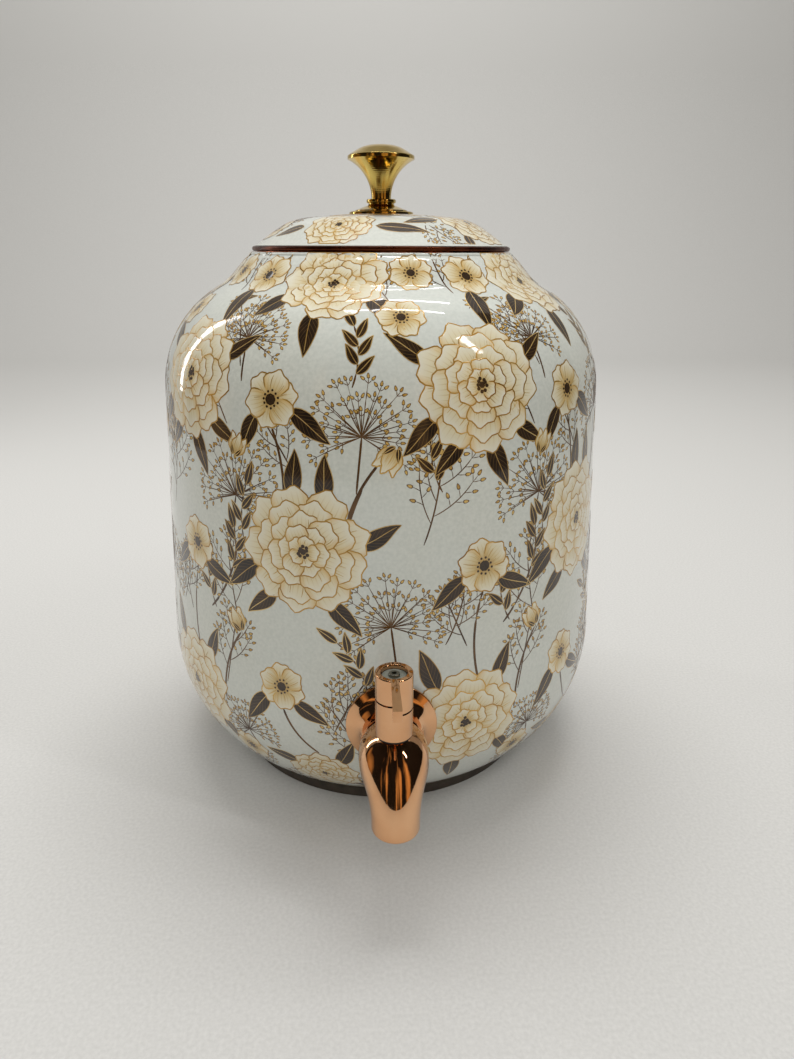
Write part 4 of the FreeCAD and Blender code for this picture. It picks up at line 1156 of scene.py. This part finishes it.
# Leaves of the lid: foot, heading, length, width, bend
DOME_LEAVES = [
    ((-22.0, -20.0), -0.25, 34.0, 8.0, -0.5),
    ((-24.0, -24.0), 0.4, 26.0, 7.0, -0.7),
    ((24.0, -36.0), 3.6, 19.0, 6.5, 0.6),
    ((-4.0, -50.0), -0.2, 24.0, 7.0, 0.6),
    ((-48.0, 10.0), 3.9, 17.0, 6.5, 0.6),
    ((-18.0, 42.0), 1.1, 17.0, 6.5, -0.5),
    ((-40.0, 45.0), 2.4, 14.0, 5.5, 0.5),
    ((34.0, 30.0), -0.4, 19.0, 6.5, 0.5),
    ((52.0, -8.0), 1.3, 17.0, 6.0, 0.5),
    ((20.0, -12.0), 1.8, 16.0, 5.5, -0.6),
    ((38.0, -42.0), -1.4, 13.0, 5.0, 0.5),
    ((-36.0, -36.0), 2.5, 17.0, 6.0, 0.5),
]

PRINT_MATERIALS = {
    "petal": PETAL,
    "gold": GOLD,
    "leaf": LEAF,
    "trim": TRIM,
    "seed": SEED,
    "umber": UMBER,
}

# Where each print starts along its outline, and how far before the outline's end it stops
WALL_REPEATS = 5
WALL_LOW = 84.0
WALL_EDGE = 0.4
DOME_LOW = 0.5
DOME_EDGE = 1.4

wall_skin = Skin(print_chain(), 1.0, "body_print", "pot", WALL_REPEATS, WALL_LOW, WALL_EDGE)
lay_out_wall(wall_skin)
make_print(wall_skin, PRINT_MATERIALS)
dome_skin = DomeSkin(lid_chain, -1.0, "lid_print", "lid", 1, DOME_LOW, DOME_EDGE)
lay_out_dome(dome_skin)
make_print(dome_skin, PRINT_MATERIALS)


# The stage: floor, backdrop, lamps and camera


def lamp(name, place, aim, width, height, power, mirrored=True):
    """A soft lamp, in metres and watts. One that isn't mirrored doesn't show in the pot's gloss."""
    light = bpy.data.lights.new(name, "AREA")
    light.shape = "RECTANGLE"
    light.size = width
    light.size_y = height
    light.energy = power
    spot = bpy.data.objects.new(name, light)
    spot.location = place
    direction = Vector(aim) - Vector(place)
    spot.rotation_euler = direction.to_track_quat("-Z", "Y").to_euler()
    spot.visible_glossy = mirrored
    bpy.context.scene.collection.objects.link(spot)


def staged(name, vertices, faces, material):
    mesh = bpy.data.meshes.new(name)
    mesh.from_pydata(vertices, [], faces)
    mesh.shade_smooth()
    mesh.materials.append(material)
    piece = bpy.data.objects.new(name, mesh)
    bpy.context.scene.collection.objects.link(piece)
    return piece


BEND_STEPS = 24


def sweep(material):
    """Floor that bends up into a backdrop behind the pot, in metres."""
    front, back, bend, top, half = -3.0, 1.5, 0.8, 4.0, 4.5
    section = [(front, 0.0), (back, 0.0)]
    for index in range(1, BEND_STEPS + 1):
        angle = math.radians(90.0 * index / BEND_STEPS)
        section.append((back + bend * math.sin(angle), bend * (1 - math.cos(angle))))
    section.append((back + bend, top))
    vertices = [(x, y, z) for y, z in section for x in (-half, half)]
    faces = [(2 * i, 2 * i + 1, 2 * i + 3, 2 * i + 2) for i in range(len(section) - 1)]
    staged("sweep", vertices, faces, material)


# The dark screen, in metres and degrees: distance from the axis and height of the points of its
# section, and how far round it reaches on each side
SCREEN_SECTION = [
    (0.95, 0.01),
    (0.95, 0.6),
    (0.93, 1.0),
    (0.82, 1.35),
    (0.62, 1.6),
    (0.3, 1.75),
    (0.0, 1.8),
]
SCREEN_REACH = 112
SCREEN_COLUMNS = 57
STREAK_STRETCH = (5.0, 0.5, 0.6)


def dark_screen():
    """A dark curved screen round the front, with a few warm streaks, that only gloss shows."""
    nodes = Nodes("dark_screen")
    stretched = nodes.add("ShaderNodeVectorMath")
    stretched.operation = "MULTIPLY"
    nodes.put(stretched, 0, nodes.place())
    nodes.put(stretched, 1, STREAK_STRETCH)
    streaks = nodes.noise(1.0, 2.0, stretched.outputs[0])
    dark = (0.57, tone(22, 16, 12))
    warm = (0.68, tone(232, 178, 112))
    nodes.set(Base_Color=nodes.ramp(streaks, [dark, warm]), Roughness=0.9)
    angles = np.radians(np.linspace(-SCREEN_REACH, SCREEN_REACH, SCREEN_COLUMNS))
    vertices = [(r * math.sin(a), -r * math.cos(a), z) for a in angles for r, z in SCREEN_SECTION]
    rows = len(SCREEN_SECTION)
    faces = []
    for i in range(SCREEN_COLUMNS - 1):
        for j in range(rows - 1):
            low = i * rows + j
            faces.append((low, low + rows, low + rows + 1, low + 1))
    piece = staged("dark_screen", vertices, faces, nodes.material)
    piece.visible_camera = False
    piece.visible_diffuse = False
    piece.visible_shadow = False


floor_nodes = Nodes("pale_floor")
floor_colour = floor_nodes.mottle(650.0, tone(194, 193, 190), tone(204, 203, 200), 2.0)
floor_nodes.set(Base_Color=floor_colour, Roughness=0.7)
sweep(floor_nodes.material)
dark_screen()

world = bpy.data.worlds.new("studio")
bpy.context.scene.world = world
world.use_nodes = True
background = world.node_tree.nodes["Background"]
background.inputs["Color"].default_value = tone(236, 234, 230)
background.inputs["Strength"].default_value = 0.62

lamp("overhead", (0.0, 0.3, 1.3), (0, 0, 0.1), 0.9, 0.6, 9.5, mirrored=False)
lamp("backdrop", (0.0, 0.9, 1.7), (0, 2.4, 0.9), 1.6, 0.3, 16.0, mirrored=False)
lamp("front", (0.0, -1.2, 1.1), (0, 0, 0.15), 0.8, 0.6, 4.0, mirrored=False)
lamp("window_left", (-0.78, 0.42, 0.5), (0, 0, 0.15), 0.05, 0.8, 1.0)
lamp("window_right", (0.62, -0.39, 1.0), (0, 0, 0.15), 0.06, 0.3, 1.0)
lamp("tube_near", (0.1, 0.1, 1.45), (0.1, 0, 0.2), 0.7, 0.03, 1.4)
lamp("tube_far", (0.1, 0.4, 1.45), (0.1, 0, 0.2), 0.7, 0.03, 1.4)

# The camera: focal length, height of the frame and offset of the aim in the photo's pixels,
# place in millimetres, and angles
FOCAL = 760.0
FRAME_HEIGHT = 1059
AIM_PIXELS = 16.6
SENSOR = 36.0
DISTANCE = 399.0
EYE_HEIGHT = 262.5
PITCH = math.radians(20.28)
SIDE = math.radians(1.8)
AIM_OFF = math.atan(AIM_PIXELS / FOCAL * math.cos(PITCH))
CAMERA_ROLL = math.radians(0.2)

camera_data = bpy.data.cameras.new("camera")
camera_data.sensor_fit = "VERTICAL"
camera_data.sensor_height = SENSOR
camera_data.lens = FOCAL * SENSOR / FRAME_HEIGHT
camera_data.clip_start = 0.01
camera = bpy.data.objects.new("camera", camera_data)
bpy.context.scene.collection.objects.link(camera)
bpy.context.scene.camera = camera
bpy.context.scene.view_settings.view_transform = "Standard"
eye = Vector((-DISTANCE * math.sin(SIDE), -DISTANCE * math.cos(SIDE), EYE_HEIGHT)) * MM
camera.matrix_world = (
    Matrix.Translation(eye)
    @ Matrix.Rotation(-SIDE - AIM_OFF, 4, "Z")
    @ Matrix.Rotation(math.pi / 2 - PITCH, 4, "X")
    @ Matrix.Rotation(CAMERA_ROLL, 4, "Z")
)
